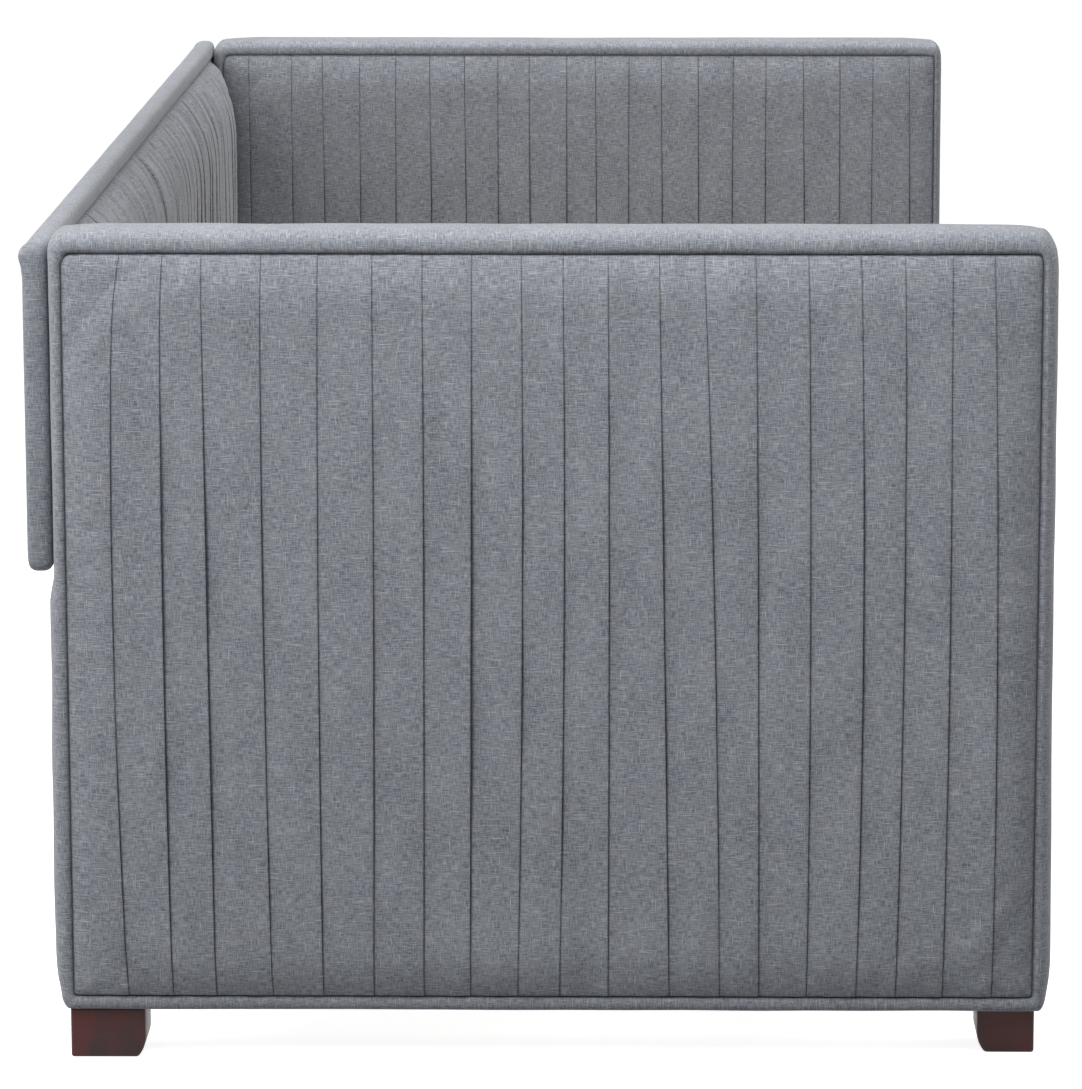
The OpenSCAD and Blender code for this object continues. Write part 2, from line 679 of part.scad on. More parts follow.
module ledger()
  color(pine_colour) difference() {
    box([-ledger_half, ledger_half], [rail_y[1], rail_y[1] + ledger_depth], ledger_z);
    for (x = ledger_screw_x) {
      rod_y(x, [rail_y[1] - 1, rail_y[1] + ledger_depth + 1], ledger_middle, screw_bore);
      rod_y(x, [rail_y[1] + ledger_depth - screw_head_height, rail_y[1] + ledger_depth + 1], ledger_middle,
            screw_head / 2 + bore_clearance);
    }
    for (i = [1:slat_count])
      rod_z(slat_x(i), ledger_seat, [slat_low - slat_screw_depth, slat_low + 1],
            slat_screw_diameter / 2 + bore_clearance);
  }

module ledger_screws_front()
  for (x = ledger_screw_x) {
    rod_y(x, [rail_y[1] - screw_depth, rail_y[1] + ledger_depth - screw_head_height], ledger_middle,
          screw_diameter / 2);
    rod_y(x, [rail_y[1] + ledger_depth - screw_head_height, rail_y[1] + ledger_depth], ledger_middle,
          screw_head / 2);
  }

module ledger_screws()
  color(steel_colour) {
    ledger_screws_front();
    at_rear() ledger_screws_front();
  }

// Moves a bracket, bolt or screw drawn at the origin to its corner against the right arm
module at_bracket(bracket)
  on_side(bracket[0]) translate([inner_ply, bracket[1], bracket[3]]) scale([1, bracket[2], 1]) children();

// A bent steel angle with its corner at the origin, its arm leg along Y and its rail leg along -X
module angle_bracket(height)
  difference() {
    union() {
      box([-bracket_thickness, 0], [0, bracket_arm_leg], [-height / 2, height / 2]);
      box([-bracket_rail_leg, 0], [0, bracket_thickness], [-height / 2, height / 2]);
    }
    for (end = [-1, 1]) {
      rod_x([-bracket_thickness - 1, 1], bracket_bolt_offset, end * (height / 2 - bracket_hole_inset), bolt_hole);
      rod_y(-bracket_rail_leg + bracket_hole_inset, [-1, bracket_thickness + 1],
            end * (height / 2 - bracket_hole_inset), screw_diameter / 2 + thread_clearance);
    }
  }

module rail_brackets()
  color(steel_colour) for (bracket = RAIL_BRACKETS) at_bracket(bracket) angle_bracket(bracket[4]);

module centre_rail_brackets()
  color(steel_colour) for (bracket = CENTRE_BRACKETS) at_bracket(bracket) angle_bracket(bracket[4]);

module bracket_bolts()
  color(steel_colour) for (bracket = concat(RAIL_BRACKETS, CENTRE_BRACKETS))
    at_bracket(bracket) for (end = [-1, 1]) {
      z = end * (bracket[4] / 2 - bracket_hole_inset);
      rod_x([-bracket_thickness - head_height, -bracket_thickness], bracket_bolt_offset, z, head_diameter / 2);
      rod_x([-bracket_thickness, arm_ply + thread_engagement], bracket_bolt_offset, z, bolt_radius);
    }

module bracket_screws()
  color(steel_colour) for (bracket = concat(RAIL_BRACKETS, CENTRE_BRACKETS))
    at_bracket(bracket) for (end = [-1, 1]) {
      x = -bracket_rail_leg + bracket_hole_inset;
      z = end * (bracket[4] / 2 - bracket_hole_inset);
      rod_y(x, [bracket_thickness, bracket_thickness + screw_head_height], z, screw_head / 2);
      rod_y(x, [-screw_depth, bracket_thickness], z, screw_diameter / 2);
    }

module centre_rail()
  color(pine_colour) difference() {
    box([-rail_half, rail_half],
        [arm_middle - centre_rail_width / 2, arm_middle + centre_rail_width / 2], centre_rail_z);
    for (side = [LEFT, RIGHT]) {
      rod_z(side * leg_offset, arm_middle, [centre_rail_z[0] - 1, centre_rail_z[0] + hanger_rise],
            bolt_radius + bore_clearance);
      for (z = bracket_holes(CENTRE_BRACKETS[0]))
        rod_y(side * bracket_screw_x,
              [arm_middle + centre_rail_width / 2 - screw_depth, arm_middle + centre_rail_width / 2 + 1],
              z, screw_bore);
    }
  }

module centre_leg()
  color(pine_colour) difference() {
    rod_z(leg_offset, arm_middle, [glide_height, centre_rail_z[0]], leg_diameter / 2);
    rod_z(leg_offset, arm_middle, [centre_rail_z[0] - hanger_depth, centre_rail_z[0] + 1],
          bolt_radius + bore_clearance);
    rod_z(leg_offset, arm_middle, [glide_height - 1, glide_height + spigot_length],
          spigot_diameter / 2 + bore_clearance);
  }

module centre_leg_hanger_bolts()
  color(steel_colour) for (side = [LEFT, RIGHT])
    rod_z(side * leg_offset, arm_middle, [centre_rail_z[0] - hanger_depth, centre_rail_z[0] + hanger_rise],
          bolt_radius);

// Each glide is a disc with a spigot that is driven up into the leg
module centre_leg_glides()
  color(nylon_colour) for (side = [LEFT, RIGHT]) {
    rod_z(side * leg_offset, arm_middle, [0, glide_height], glide_diameter / 2);
    rod_z(side * leg_offset, arm_middle, [glide_height, glide_height + spigot_length], spigot_diameter / 2);
  }

module slat(i)
  color(pine_colour) difference() {
    box([slat_x(i) - slat_width / 2, slat_x(i) + slat_width / 2],
        [arm_middle - slat_half_length, arm_middle + slat_half_length], [slat_low, slat_low + slat_thickness]);
    for (end = [-1, 1]) {
      y = arm_middle + end * (arm_middle - ledger_seat);
      rod_z(slat_x(i), y, [slat_low - 1, slat_low + slat_thickness + 1], slat_screw_diameter / 2 + bore_clearance);
      rod_z(slat_x(i), y, [slat_low + slat_thickness - screw_head_height, slat_low + slat_thickness + 1],
            slat_screw_head / 2 + bore_clearance);
    }
  }

module slat_screws()
  color(steel_colour) for (i = [1:slat_count], end = [-1, 1]) {
    y = arm_middle + end * (arm_middle - ledger_seat);
    top = slat_low + slat_thickness;
    rod_z(slat_x(i), y, [top - screw_head_height, top], slat_screw_head / 2);
    rod_z(slat_x(i), y, [slat_low - slat_screw_depth, top - screw_head_height], slat_screw_diameter / 2);
  }

module slat_straps()
  color(strap_colour) for (end = [-1, 1])
    box([slat_x(1) - slat_width / 2, slat_x(slat_count) + slat_width / 2],
        [arm_middle + end * strap_offset - strap_width / 2, arm_middle + end * strap_offset + strap_width / 2],
        [slat_low - strap_thickness, slat_low]);

on_side(LEFT) arm_frame();  // left_arm_frame
on_side(RIGHT) arm_frame();  // right_arm_frame
on_side(LEFT) arm_outer_board();  // left_arm_outer_board
on_side(RIGHT) arm_outer_board();  // right_arm_outer_board
on_side(LEFT) arm_inner_board();  // left_arm_inner_board
on_side(RIGHT) arm_inner_board();  // right_arm_inner_board
on_side(LEFT) arm_border();  // left_arm_border
on_side(RIGHT) arm_border();  // right_arm_border
on_side(LEFT) arm_outer_pad();  // left_arm_outer_pad
on_side(RIGHT) arm_outer_pad();  // right_arm_outer_pad
on_side(LEFT) arm_inner_pad();  // left_arm_inner_pad
on_side(RIGHT) arm_inner_pad();  // right_arm_inner_pad
on_side(LEFT) arm_dust_cover();  // left_arm_dust_cover
on_side(RIGHT) arm_dust_cover();  // right_arm_dust_cover
on_side(LEFT) arm_inserts();  // left_arm_inserts
on_side(RIGHT) arm_inserts();  // right_arm_inserts
on_side(LEFT) front_foot();  // front_left_foot
on_side(RIGHT) front_foot();  // front_right_foot
on_side(LEFT) rear_foot();  // rear_left_foot
on_side(RIGHT) rear_foot();  // rear_right_foot
foot_hanger_bolts();
back_frame();
back_board();
back_pad();
back_border();
back_rear_cover();
back_bolts();
back_washers();
rail_board();  // front_rail_board
rail_cover();  // front_rail_cover
ledger();  // front_ledger
at_rear() rail_board();  // rear_rail_board
at_rear() rail_cover();  // rear_rail_cover
at_rear() ledger();  // rear_ledger
rail_brackets();
bracket_bolts();
bracket_screws();
ledger_screws();
centre_rail();
centre_rail_brackets();
on_side(LEFT) centre_leg();  // left_centre_leg
on_side(RIGHT) centre_leg();  // right_centre_leg
centre_leg_hanger_bolts();
centre_leg_glides();
slat_straps();
slat_screws();
for (i = [1:slat_count]) slat(i);
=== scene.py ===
"""The looks of an upholstered twin daybed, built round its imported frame.

The two end arms and the back are dressed in a heathered linen weave, sewn in knife pleats inside
padded rolls. The base between them is slatted softwood on fabric-covered rails. Sizes are in metres.
"""

import logging
import math
from collections.abc import Callable, Sequence
from dataclasses import dataclass, field
from enum import Enum

import bmesh
import bpy
import numpy as np
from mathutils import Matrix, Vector


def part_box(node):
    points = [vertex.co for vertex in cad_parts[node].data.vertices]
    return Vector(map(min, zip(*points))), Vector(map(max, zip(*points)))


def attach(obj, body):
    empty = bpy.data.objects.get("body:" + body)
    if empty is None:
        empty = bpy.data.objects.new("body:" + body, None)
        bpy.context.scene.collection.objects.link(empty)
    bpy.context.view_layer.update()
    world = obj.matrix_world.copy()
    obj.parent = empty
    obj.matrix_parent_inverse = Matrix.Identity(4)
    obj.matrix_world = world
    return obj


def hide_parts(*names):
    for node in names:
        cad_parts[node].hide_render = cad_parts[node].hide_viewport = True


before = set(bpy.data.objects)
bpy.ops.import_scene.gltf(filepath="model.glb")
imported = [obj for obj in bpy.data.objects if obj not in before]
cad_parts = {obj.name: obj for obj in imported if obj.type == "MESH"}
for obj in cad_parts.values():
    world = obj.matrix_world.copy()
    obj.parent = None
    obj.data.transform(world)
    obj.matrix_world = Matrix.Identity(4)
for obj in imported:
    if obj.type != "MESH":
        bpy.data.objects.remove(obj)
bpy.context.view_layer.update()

Triple = tuple[float, float, float]
MM = 0.001
WHITE = (1.0, 1.0, 1.0, 1.0)
FLAT_ANGLE = math.radians(1.0)
SHARP_ANGLE = math.radians(30.0)
CAD_WELD = 0.01 * MM
CLOTH_WELD = 0.005 * MM
EVERYWHERE = 10.0
LOG = logging.getLogger("daybed")


# ---- Shader workbench ----


class Signal:
    """A shader socket that can be used in Python sums, each of which adds a Math node."""

    def __init__(self, bench: "NodeBench", socket: bpy.types.NodeSocket) -> None:
        """Wraps one output socket.

        Args:
            bench: The bench whose node tree the socket belongs to.
            socket: The output socket.
        """
        self.bench = bench
        self.socket = socket

    def _maths(self, operation: str, first: object, second: object) -> "Signal":
        """Adds one Math node.

        Args:
            operation: The node's operation.
            first: Its first value or signal.
            second: Its second value or signal.

        Returns:
            The node's result.
        """
        made = self.bench.node("ShaderNodeMath", {"operation": operation}, {0: first, 1: second})
        return Signal(self.bench, made.outputs[0])

    def __add__(self, other: object) -> "Signal":
        """The sum of this signal and another value."""
        return self._maths("ADD", self, other)

    def __radd__(self, other: object) -> "Signal":
        """The sum of another value and this signal."""
        return self._maths("ADD", other, self)

    def __sub__(self, other: object) -> "Signal":
        """This signal less another value."""
        return self._maths("SUBTRACT", self, other)

    def __rsub__(self, other: object) -> "Signal":
        """Another value less this signal."""
        return self._maths("SUBTRACT", other, self)

    def __mul__(self, other: object) -> "Signal":
        """The product of this signal and another value."""
        return self._maths("MULTIPLY", self, other)

    def __rmul__(self, other: object) -> "Signal":
        """The product of another value and this signal."""
        return self._maths("MULTIPLY", other, self)

    def greatest(self, other: object) -> "Signal":
        """The greater of this signal and another value."""
        return self._maths("MAXIMUM", self, other)

    def sine(self) -> "Signal":
        """The sine of this signal."""
        return self._maths("SINE", self, 0.0)


class NodeBench:
    """Makes the nodes of one material or world."""

    def __init__(self, owner: bpy.types.Material | bpy.types.World) -> None:
        """Starts with an empty node tree.

        Args:
            owner: The material or world.
        """
        owner.use_nodes = True
        self.owner = owner
        self.tree = owner.node_tree
        self.tree.nodes.clear()

    @classmethod
    def material(cls, name: str) -> "NodeBench":
        """A bench for a new material of this name."""
        return cls(bpy.data.materials.new(name))

    def node(self, kind: str, settings: dict | None = None, inputs: dict | None = None) -> bpy.types.Node:
        """Adds a node, with its settings made before its sockets are filled.

        Args:
            kind: The node's type.
            settings: Its own properties.
            inputs: A value, socket or Signal for each socket, by name or number.

        Returns:
            The new node.
        """
        made = self.tree.nodes.new(kind)
        for name, value in (settings or {}).items():
            setattr(made, name, value)
        for key, value in (inputs or {}).items():
            if isinstance(value, Signal):
                value = value.socket
            if isinstance(value, bpy.types.NodeSocket):
                self.tree.links.new(value, made.inputs[key])
            else:
                made.inputs[key].default_value = value
        return made

    def coordinates(self, output: str, scale: Sequence[float]) -> Signal:
        """The piece's own coordinates, stretched.

        Args:
            output: The socket of the Texture Coordinate node to read, "Object" or "UV".
            scale: Factor along each axis.

        Returns:
            The stretched coordinates.
        """
        source = self.node("ShaderNodeTexCoord")
        mapped = self.node("ShaderNodeMapping", {}, {"Vector": source.outputs[output], "Scale": scale})
        return Signal(self, mapped.outputs[0])

    def noise(self, place: Signal, scale: float, detail: float = 2.0, roughness: float = 0.5) -> Signal:
        """Noise from about 0.3 to 0.7 at a place.

        Args:
            place: Where to read it.
            scale: Its fineness.
            detail: Number of finer layers.
            roughness: Strength of the finer layers.

        Returns:
            The noise.
        """
        sockets = {"Vector": place, "Scale": scale, "Detail": detail, "Roughness": roughness}
        return Signal(self, self.node("ShaderNodeTexNoise", {}, sockets).outputs["Fac"])

    def crossings(self, output: str, pitch: float) -> Signal:
        """The rise and fall of a plain weave at its crossings, from 0 to 1.

        Args:
            output: The coordinates that it follows, "Object" or "UV".
            pitch: Distance over which the weave repeats.

        Returns:
            The height.
        """
        turn = math.tau / pitch
        axes = self.node("ShaderNodeSeparateXYZ", {}, {0: self.coordinates(output, (turn, turn, turn))})
        along, across = (Signal(self, axes.outputs[i]) for i in (0, 1))
        return along.sine() * across.sine() * 0.5 + 0.5

    def attribute(self, name: str) -> Signal:
        """A number kept on the piece's points, by its name."""
        return Signal(self, self.node("ShaderNodeAttribute", {"attribute_name": name}).outputs["Fac"])

    def remap(
        self, value: Signal, low: float, high: float, to_low: float = 0.0, to_high: float = 1.0
    ) -> Signal:
        """Stretches a value's range, and clamps what falls outside.

        Args:
            value: The value.
            low: The value that becomes to_low.
            high: The value that becomes to_high.
            to_low: Lower end of the new range.
            to_high: Upper end of the new range.

        Returns:
            The stretched value.
        """
        sockets = {"Value": value, "From Min": low, "From Max": high, "To Min": to_low, "To Max": to_high}
        return Signal(self, self.node("ShaderNodeMapRange", {"clamp": True}, sockets).outputs[0])

    def blend(self, factor: object, first: object, second: object, mode: str = "MIX") -> Signal:
        """Mixes two colours.

        Args:
            factor: Share of the second colour.
            first: The first colour, three numbers or a Signal.
            second: The second colour, three numbers or a Signal.
            mode: How the second colour is laid over the first.

        Returns:
            The mixed colour.
        """
        first, second = (c if isinstance(c, Signal) else (*c, 1.0) for c in (first, second))
        settings = {"data_type": "RGBA", "blend_type": mode}
        return Signal(self, self.node("ShaderNodeMix", settings, {0: factor, 6: first, 7: second}).outputs[2])

    def bump(self, height: Signal, distance: float, strength: float = 1.0) -> Signal:
        """A normal tilted by a height.

        Args:
            height: The height, from 0 to 1.
            distance: What a height of 1 stands for, in metres.
            strength: Strength of the effect.

        Returns:
            The normal.
        """
        made = self.node("ShaderNodeBump", {}, {"Height": height, "Distance": distance, "Strength": strength})
        return Signal(self, made.outputs[0])

    def finish(self, **sockets: object) -> bpy.types.Material:
        """Ends the material with a Principled shader.

        Args:
            sockets: Values and signals of its sockets, with _ in place of spaces.

        Returns:
            The finished material.
        """
        values = {name.replace("_", " "): value for name, value in sockets.items()}
        shader = self.node("ShaderNodeBsdfPrincipled", {}, values)
        self.node("ShaderNodeOutputMaterial", {}, {"Surface": shader.outputs[0]})
        return self.owner


# ---- Finishes ----


class Grain(Enum):
    """The axis along which the grain of a board runs."""

    X = 0
    Y = 1
    Z = 2


@dataclass(frozen=True)
class LinenWeave:
    """The heathered blue-grey upholstery fabric, woven from light and dark slubbed threads.

    Attributes:
        dark: Colour of the dark threads.
        light: Colour of the light threads.
        slub: Colour of the thick places in the threads.
        moss: Colour of a faint cast that comes and goes.
        crease_shade: Colour of the shade painted into a fold or a seam, which the colour is multiplied by.
        thread: Width of a thread.
        streak: Length over which a thread keeps its shade.
        pitch: Distance over which the weave repeats.
        thread_height: Height of the weave.
    """

    dark: Triple = (0.118, 0.131, 0.158)
    light: Triple = (0.386, 0.403, 0.445)
    slub: Triple = (0.500, 0.515, 0.545)
    moss: Triple = (0.262, 0.270, 0.250)
    crease_shade: Triple = (0.30, 0.31, 0.35)
    thread: float = 0.95 * MM
    streak: float = 10.5 * MM
    pitch: float = 1.1 * MM
    thread_height: float = 0.35 * MM

    def material(self) -> bpy.types.Material:
        """The fabric, laid out by each piece's own map of its cloth.

        Returns:
            The material.
        """
        bench = NodeBench.material("heathered linen")
        fine, long = 1 / self.thread, 1 / self.streak
        weft = bench.noise(bench.coordinates("UV", (long, fine, 1.0)), 1.0, 2.0, 0.7)
        warp = bench.noise(bench.coordinates("UV", (fine, long * 1.2, 1.0)), 1.0, 2.0, 0.7)
        heather = bench.remap(weft * 0.54 + warp * 0.46, 0.41, 0.59)
        cloud = bench.noise(bench.coordinates("UV", (1.0, 0.5, 1.0)), 21.0, 3.0, 0.6)
        shade = heather * 0.80 + bench.remap(cloud, 0.3, 0.7) * 0.20
        colour = bench.blend(shade, self.dark, self.light)
        mossy = bench.noise(bench.coordinates("UV", (2.0, 0.8, 1.0)), 40.0, 3.0, 0.6)
        colour = bench.blend(bench.remap(mossy, 0.50, 0.70, 0.0, 0.30), colour, self.moss)
        weft_slub = bench.noise(bench.coordinates("UV", (long * 0.45, fine * 0.8, 1.0)), 1.0, 1.0, 0.5)
        warp_slub = bench.noise(bench.coordinates("UV", (fine * 0.8, long * 0.5, 1.0)), 1.0, 1.0, 0.5)
        slubs = bench.remap(weft_slub, 0.62, 0.72, 0.0, 0.70)
        slubs = slubs.greatest(bench.remap(warp_slub, 0.63, 0.73, 0.0, 0.65))
        colour = bench.blend(slubs, colour, self.slub)
        # Painted shade: folds and seams are darkened in the colour itself, as far as each point's painted
        # shade map says.
        colour = bench.blend(bench.attribute("crease_shade"), colour, self.crease_shade, "MULTIPLY")
        height = bench.crossings("UV", self.pitch) * 0.35 + heather * 0.45 + slubs * 0.2
        return bench.finish(
            Base_Color=colour,
            Roughness=bench.remap(heather, 0.0, 1.0, 0.95, 0.82),
            Sheen_Weight=0.35,
            Sheen_Roughness=0.4,
            Specular_IOR_Level=0.2,
            Normal=bench.bump(height, self.thread_height, 0.5),
        )


@dataclass(frozen=True)
class PlanedWood:
    """Planed bare timber: softwood or ply.

    Attributes:
        name: The finish's name.
        early: Colour of the wood that grows in spring.
        late: Colour of the darker lines between it.
        grain: The axis of the grain.
        ring: Distance between two rings.
        roughness: Its middle roughness.
        stretch: Fineness of the figure along the grain, as a share of that across it.
    """

    name: str
    early: Triple
    late: Triple
    grain: Grain
    ring: float = 7.0 * MM
    roughness: float = 0.55
    stretch: float = 0.045

    def material(self) -> bpy.types.Material:
        """The wood, with its grain along one axis of the piece.

        Returns:
            The material.
        """
        bench = NodeBench.material(f"{self.name} {self.grain.name.lower()}")
        scale = [1.0, 1.0, 1.0]
        scale[self.grain.value] = self.stretch
        place = bench.coordinates("Object", scale)
        bend = bench.noise(place, 9.0, 2.0)
        rings = bench.noise(place, 1 / self.ring, 3.0, 0.65)
        bands = ((rings + bend * 1.6) * 26.0).sine() * 0.5 + 0.5
        pores = bench.noise(place, 1100.0, 1.0)
        figure = bands * 0.55 + rings * 0.45
        colour = bench.blend(bench.remap(figure, 0.15, 0.85), self.early, self.late)
        colour = bench.blend(bench.remap(pores, 0.55, 0.72, 0.0, 0.35), colour, self.late, "MULTIPLY")
        return bench.finish(
            Base_Color=colour,
            Roughness=bench.remap(figure, 0.0, 1.0, self.roughness + 0.06, self.roughness - 0.06),
            Normal=bench.bump(figure * 0.5 + pores * 0.5, 0.12 * MM, 0.5),
        )


@dataclass(frozen=True)
class SatinStain:
    """Dark red-brown stain under satin lacquer, through which a little grain shows."""

    red: Triple = (0.068, 0.012, 0.011)
    brown: Triple = (0.019, 0.010, 0.010)

    def material(self) -> bpy.types.Material:
        """The stained wood, with its grain from front to back.

        Returns:
            The material.
        """
        bench = NodeBench.material("espresso stain")
        grain = bench.noise(bench.coordinates("Object", (1.0, 0.12, 1.0)), 260.0, 3.0, 0.6)
        patch = bench.noise(bench.coordinates("Object", (1.0, 1.0, 0.6)), 26.0, 2.0)
        colour = bench.blend(bench.remap(patch * 0.75 + grain * 0.25, 0.40, 0.60), self.brown, self.red)
        return bench.finish(
            Base_Color=colour,
            Roughness=bench.remap(grain, 0.3, 0.7, 0.34, 0.48),
            Specular_IOR_Level=0.25,
            Coat_Weight=0.08,
            Coat_Roughness=0.2,
            Normal=bench.bump(grain, 0.08 * MM, 0.4),
        )


@dataclass(frozen=True)
class Metal:
    """Plated or coated steel, with the height of its fine texture."""

    name: str
    colour: Triple
    metallic: float
    roughness: float
    texture: float

    def material(self) -> bpy.types.Material:
        """The metal, with fine unevenness in its gloss.

        Returns:
            The material.
        """
        bench = NodeBench.material(self.name)
        place = bench.coordinates("Object", (1.0, 1.0, 1.0))
        cloud = bench.noise(place, 90.0, 3.0)
        fine = bench.noise(place, 1600.0, 1.0)
        darker = tuple(0.78 * c for c in self.colour)
        return bench.finish(
            Base_Color=bench.blend(bench.remap(cloud, 0.35, 0.65), darker, self.colour),
            Metallic=self.metallic,
            Roughness=bench.remap(cloud, 0.3, 0.7, self.roughness - 0.07, self.roughness + 0.07),
            Normal=bench.bump(fine, self.texture, 0.5),
        )


@dataclass(frozen=True)
class MouldedNylon:
    """Off-white moulded nylon, slightly scuffed."""

    colour: Triple = (0.72, 0.70, 0.64)
    scuffed: Triple = (0.42, 0.40, 0.36)

    def material(self) -> bpy.types.Material:
        """The plastic, with a spark-eroded texture.

        Returns:
            The material.
        """
        bench = NodeBench.material("moulded nylon")
        place = bench.coordinates("Object", (1.0, 1.0, 1.0))
        scuff = bench.noise(place, 60.0, 3.0)
        grain = bench.noise(place, 1400.0, 1.0)
        return bench.finish(
            Base_Color=bench.blend(bench.remap(scuff, 0.45, 0.7, 0.0, 0.25), self.colour, self.scuffed),
            Roughness=bench.remap(scuff, 0.3, 0.7, 0.38, 0.55),
            Normal=bench.bump(grain, 0.05 * MM, 0.4),
        )


@dataclass(frozen=True)
class WovenCloth:
    """A plain cloth on Object coordinates: cotton tape, or the black cambric under an arm."""

    name: str
    dark: Triple
    light: Triple
    pitch: float

    def material(self) -> bpy.types.Material:
        """The cloth, with its threads along X and Y.

        Returns:
            The material.
        """
        bench = NodeBench.material(self.name)
        weave = bench.crossings("Object", self.pitch)
        fuzz = bench.noise(bench.coordinates("Object", (1.0, 1.0, 1.0)), 700.0, 2.0)
        return bench.finish(
            Base_Color=bench.blend(bench.remap(weave * 0.5 + fuzz * 0.5, 0.3, 0.7), self.dark, self.light),
            Roughness=bench.remap(fuzz, 0.3, 0.7, 0.95, 0.80),
            Sheen_Weight=0.1,
            Normal=bench.bump(weave * 0.6 + fuzz * 0.4, 0.2 * MM, 0.6),
        )


class Palette:
    """Every material of the daybed, each made once."""

    def __init__(self) -> None:
        """Makes the materials."""
        self.linen = LinenWeave().material()
        pine = ("planed pine", (0.60, 0.43, 0.24), (0.44, 0.27, 0.12))
        ply = ("thin ply", (0.54, 0.38, 0.21), (0.42, 0.27, 0.13))
        slats = ("planed slats", (0.45, 0.35, 0.23), (0.33, 0.235, 0.14))
        self.pine = {axis: PlanedWood(*pine, axis).material() for axis in (Grain.X, Grain.Z)}
        self.slats = PlanedWood(*slats, Grain.Y).material()
        self.ply = {axis: PlanedWood(*ply, axis, 11 * MM).material() for axis in (Grain.X, Grain.Z)}
        self.stain = SatinStain().material()
        self.zinc = Metal("zinc plate", (0.56, 0.57, 0.59), 1.0, 0.34, 0.03 * MM).material()
        self.powder = Metal("black powder coat", (0.028, 0.028, 0.030), 0.0, 0.48, 0.14 * MM).material()
        self.nylon = MouldedNylon().material()
        self.tape = WovenCloth("cotton tape", (0.50, 0.46, 0.38), (0.72, 0.68, 0.58), 1.6 * MM).material()
        black, grey = (0.008, 0.008, 0.009), (0.022, 0.022, 0.024)
        self.cambric = WovenCloth("black cambric", black, grey, 2.0 * MM).material()


# ---- Mesh helpers ----


class SoftNoise:
    """Smooth seeded unevenness: a sum of sine waves in two directions."""

    WAVES = 16
    SPREAD = 1.6

    def __init__(self, seed: int, across: float, along: float) -> None:
        """Draws the waves.

        Args:
            seed: Start of the random numbers.
            across: Shortest wavelength in the first direction.
            along: Shortest wavelength in the second direction.
        """
        rng = np.random.default_rng(seed)
        self.across = math.tau / across * rng.uniform(-1.0, 1.0, self.WAVES)
        self.along = math.tau / along * rng.uniform(-1.0, 1.0, self.WAVES)
        self.phase = rng.uniform(0.0, math.tau, self.WAVES)

    def __call__(self, u: np.ndarray, v: np.ndarray) -> np.ndarray:
        """The unevenness at each place, mostly from -1 to 1.

        Args:
            u: Places in the first direction.
            v: Places in the second direction.

        Returns:
            One number for each place.
        """
        u, v = np.broadcast_arrays(u, v)
        total = sum(np.sin(a * u + b * v + c) for a, b, c in zip(self.across, self.along, self.phase))
        return total / math.sqrt(self.WAVES / 2) / self.SPREAD


@dataclass(frozen=True)
class Unevenness:
    """One kind of unevenness in wadding or cloth.

    Attributes:
        number: What is added to a piece's own seed for it.
        across: Its shortest wave in the first direction.
        along: Its shortest wave in the second direction.
        height: Its height.
    """

    number: int
    across: float
    along: float
    height: float

    def on(self, seed: int, u: np.ndarray, v: np.ndarray) -> np.ndarray:
        """Its heights at places on a piece with this seed."""
        return SoftNoise(seed + self.number, self.across, self.along)(u, v) * self.height


def smooth_step(value: np.ndarray) -> np.ndarray:
    """A soft rise from 0 to 1 as the value goes from 0 to 1."""
    held = np.clip(value, 0.0, 1.0)
    return held * held * (3.0 - 2.0 * held)


def crown_rise(share: np.ndarray, fullness: np.ndarray) -> np.ndarray:
    """The share of its full height that a padded face has, part of the way up from its seam.

    Args:
        share: How much of its rise is behind it.
        fullness: 1 for a parabola, 0.5 for a quarter ellipse, and less for a steeper start.

    Returns:
        The shares, which end level at 1.
    """
    left = 1.0 - np.clip(share, 0.0, 1.0)
    return (1.0 - left * left) ** fullness


def spaced(start: float, end: float, step: float) -> np.ndarray:
    """Even places from start to end, at most step apart."""
    return np.linspace(start, end, max(2, math.ceil(abs(end - start) / step) + 1))


def points_of(mesh: bpy.types.Mesh) -> np.ndarray:
    """A mesh's points, by 3.

    Args:
        mesh: The mesh.

    Returns:
        Their places.
    """
    flat = np.empty(len(mesh.vertices) * 3)
    mesh.vertices.foreach_get("co", flat)
    return flat.reshape(-1, 3)


def grid_line(share: np.ndarray, steps: int) -> np.ndarray:
    """The number of the grid line at each share of a grid's side, which runs from -0.5 to 0.5."""
    return np.rint((share + 0.5) * steps).astype(int)


def length_along(points: np.ndarray) -> np.ndarray:
    """How far along a line each of its points lies.

    Args:
        points: The points, or several lines of them, by their coordinates.

    Returns:
        Distances from the line's first point.
    """
    steps = np.linalg.norm(np.diff(points, axis=-2), axis=-1)
    start = np.zeros((*steps.shape[:-1], 1))
    return np.concatenate([start, np.cumsum(steps, axis=-1)], axis=-1)


def joined(piece: bpy.types.Object, slot: str, *nodes: str) -> bpy.types.Object:
    """Puts a piece on the frame.

    Args:
        piece: The piece.
        slot: The record's material slot; not used.
        nodes: The CAD nodes that it stands for.

    Returns:
        The piece.
    """
    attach(piece, "root")
    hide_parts(*nodes)
    LOG.info("%s: %d faces for %s", piece.name, len(piece.data.polygons), ", ".join(nodes))
    return piece


def placed(
    bm: bmesh.types.BMesh, name: str, material: bpy.types.Material, sharp: float = 180.0
) -> bpy.types.Object:
    """Turns a finished bmesh into an object at the origin.

    Args:
        bm: The mesh, which is freed.
        name: The piece's name.
        material: Its material.
        sharp: Angle in degrees above which an edge is shaded sharp.

    Returns:
        The object.
    """
    mesh = bpy.data.meshes.new(name)
    bm.to_mesh(mesh)
    bm.free()
    mesh.materials.append(material)
    mesh.shade_smooth()
    if sharp < 180.0:
        mesh.set_sharp_from_angle(angle=math.radians(sharp))
    piece = bpy.data.objects.new(name, mesh)
    bpy.context.scene.collection.objects.link(piece)
    return piece


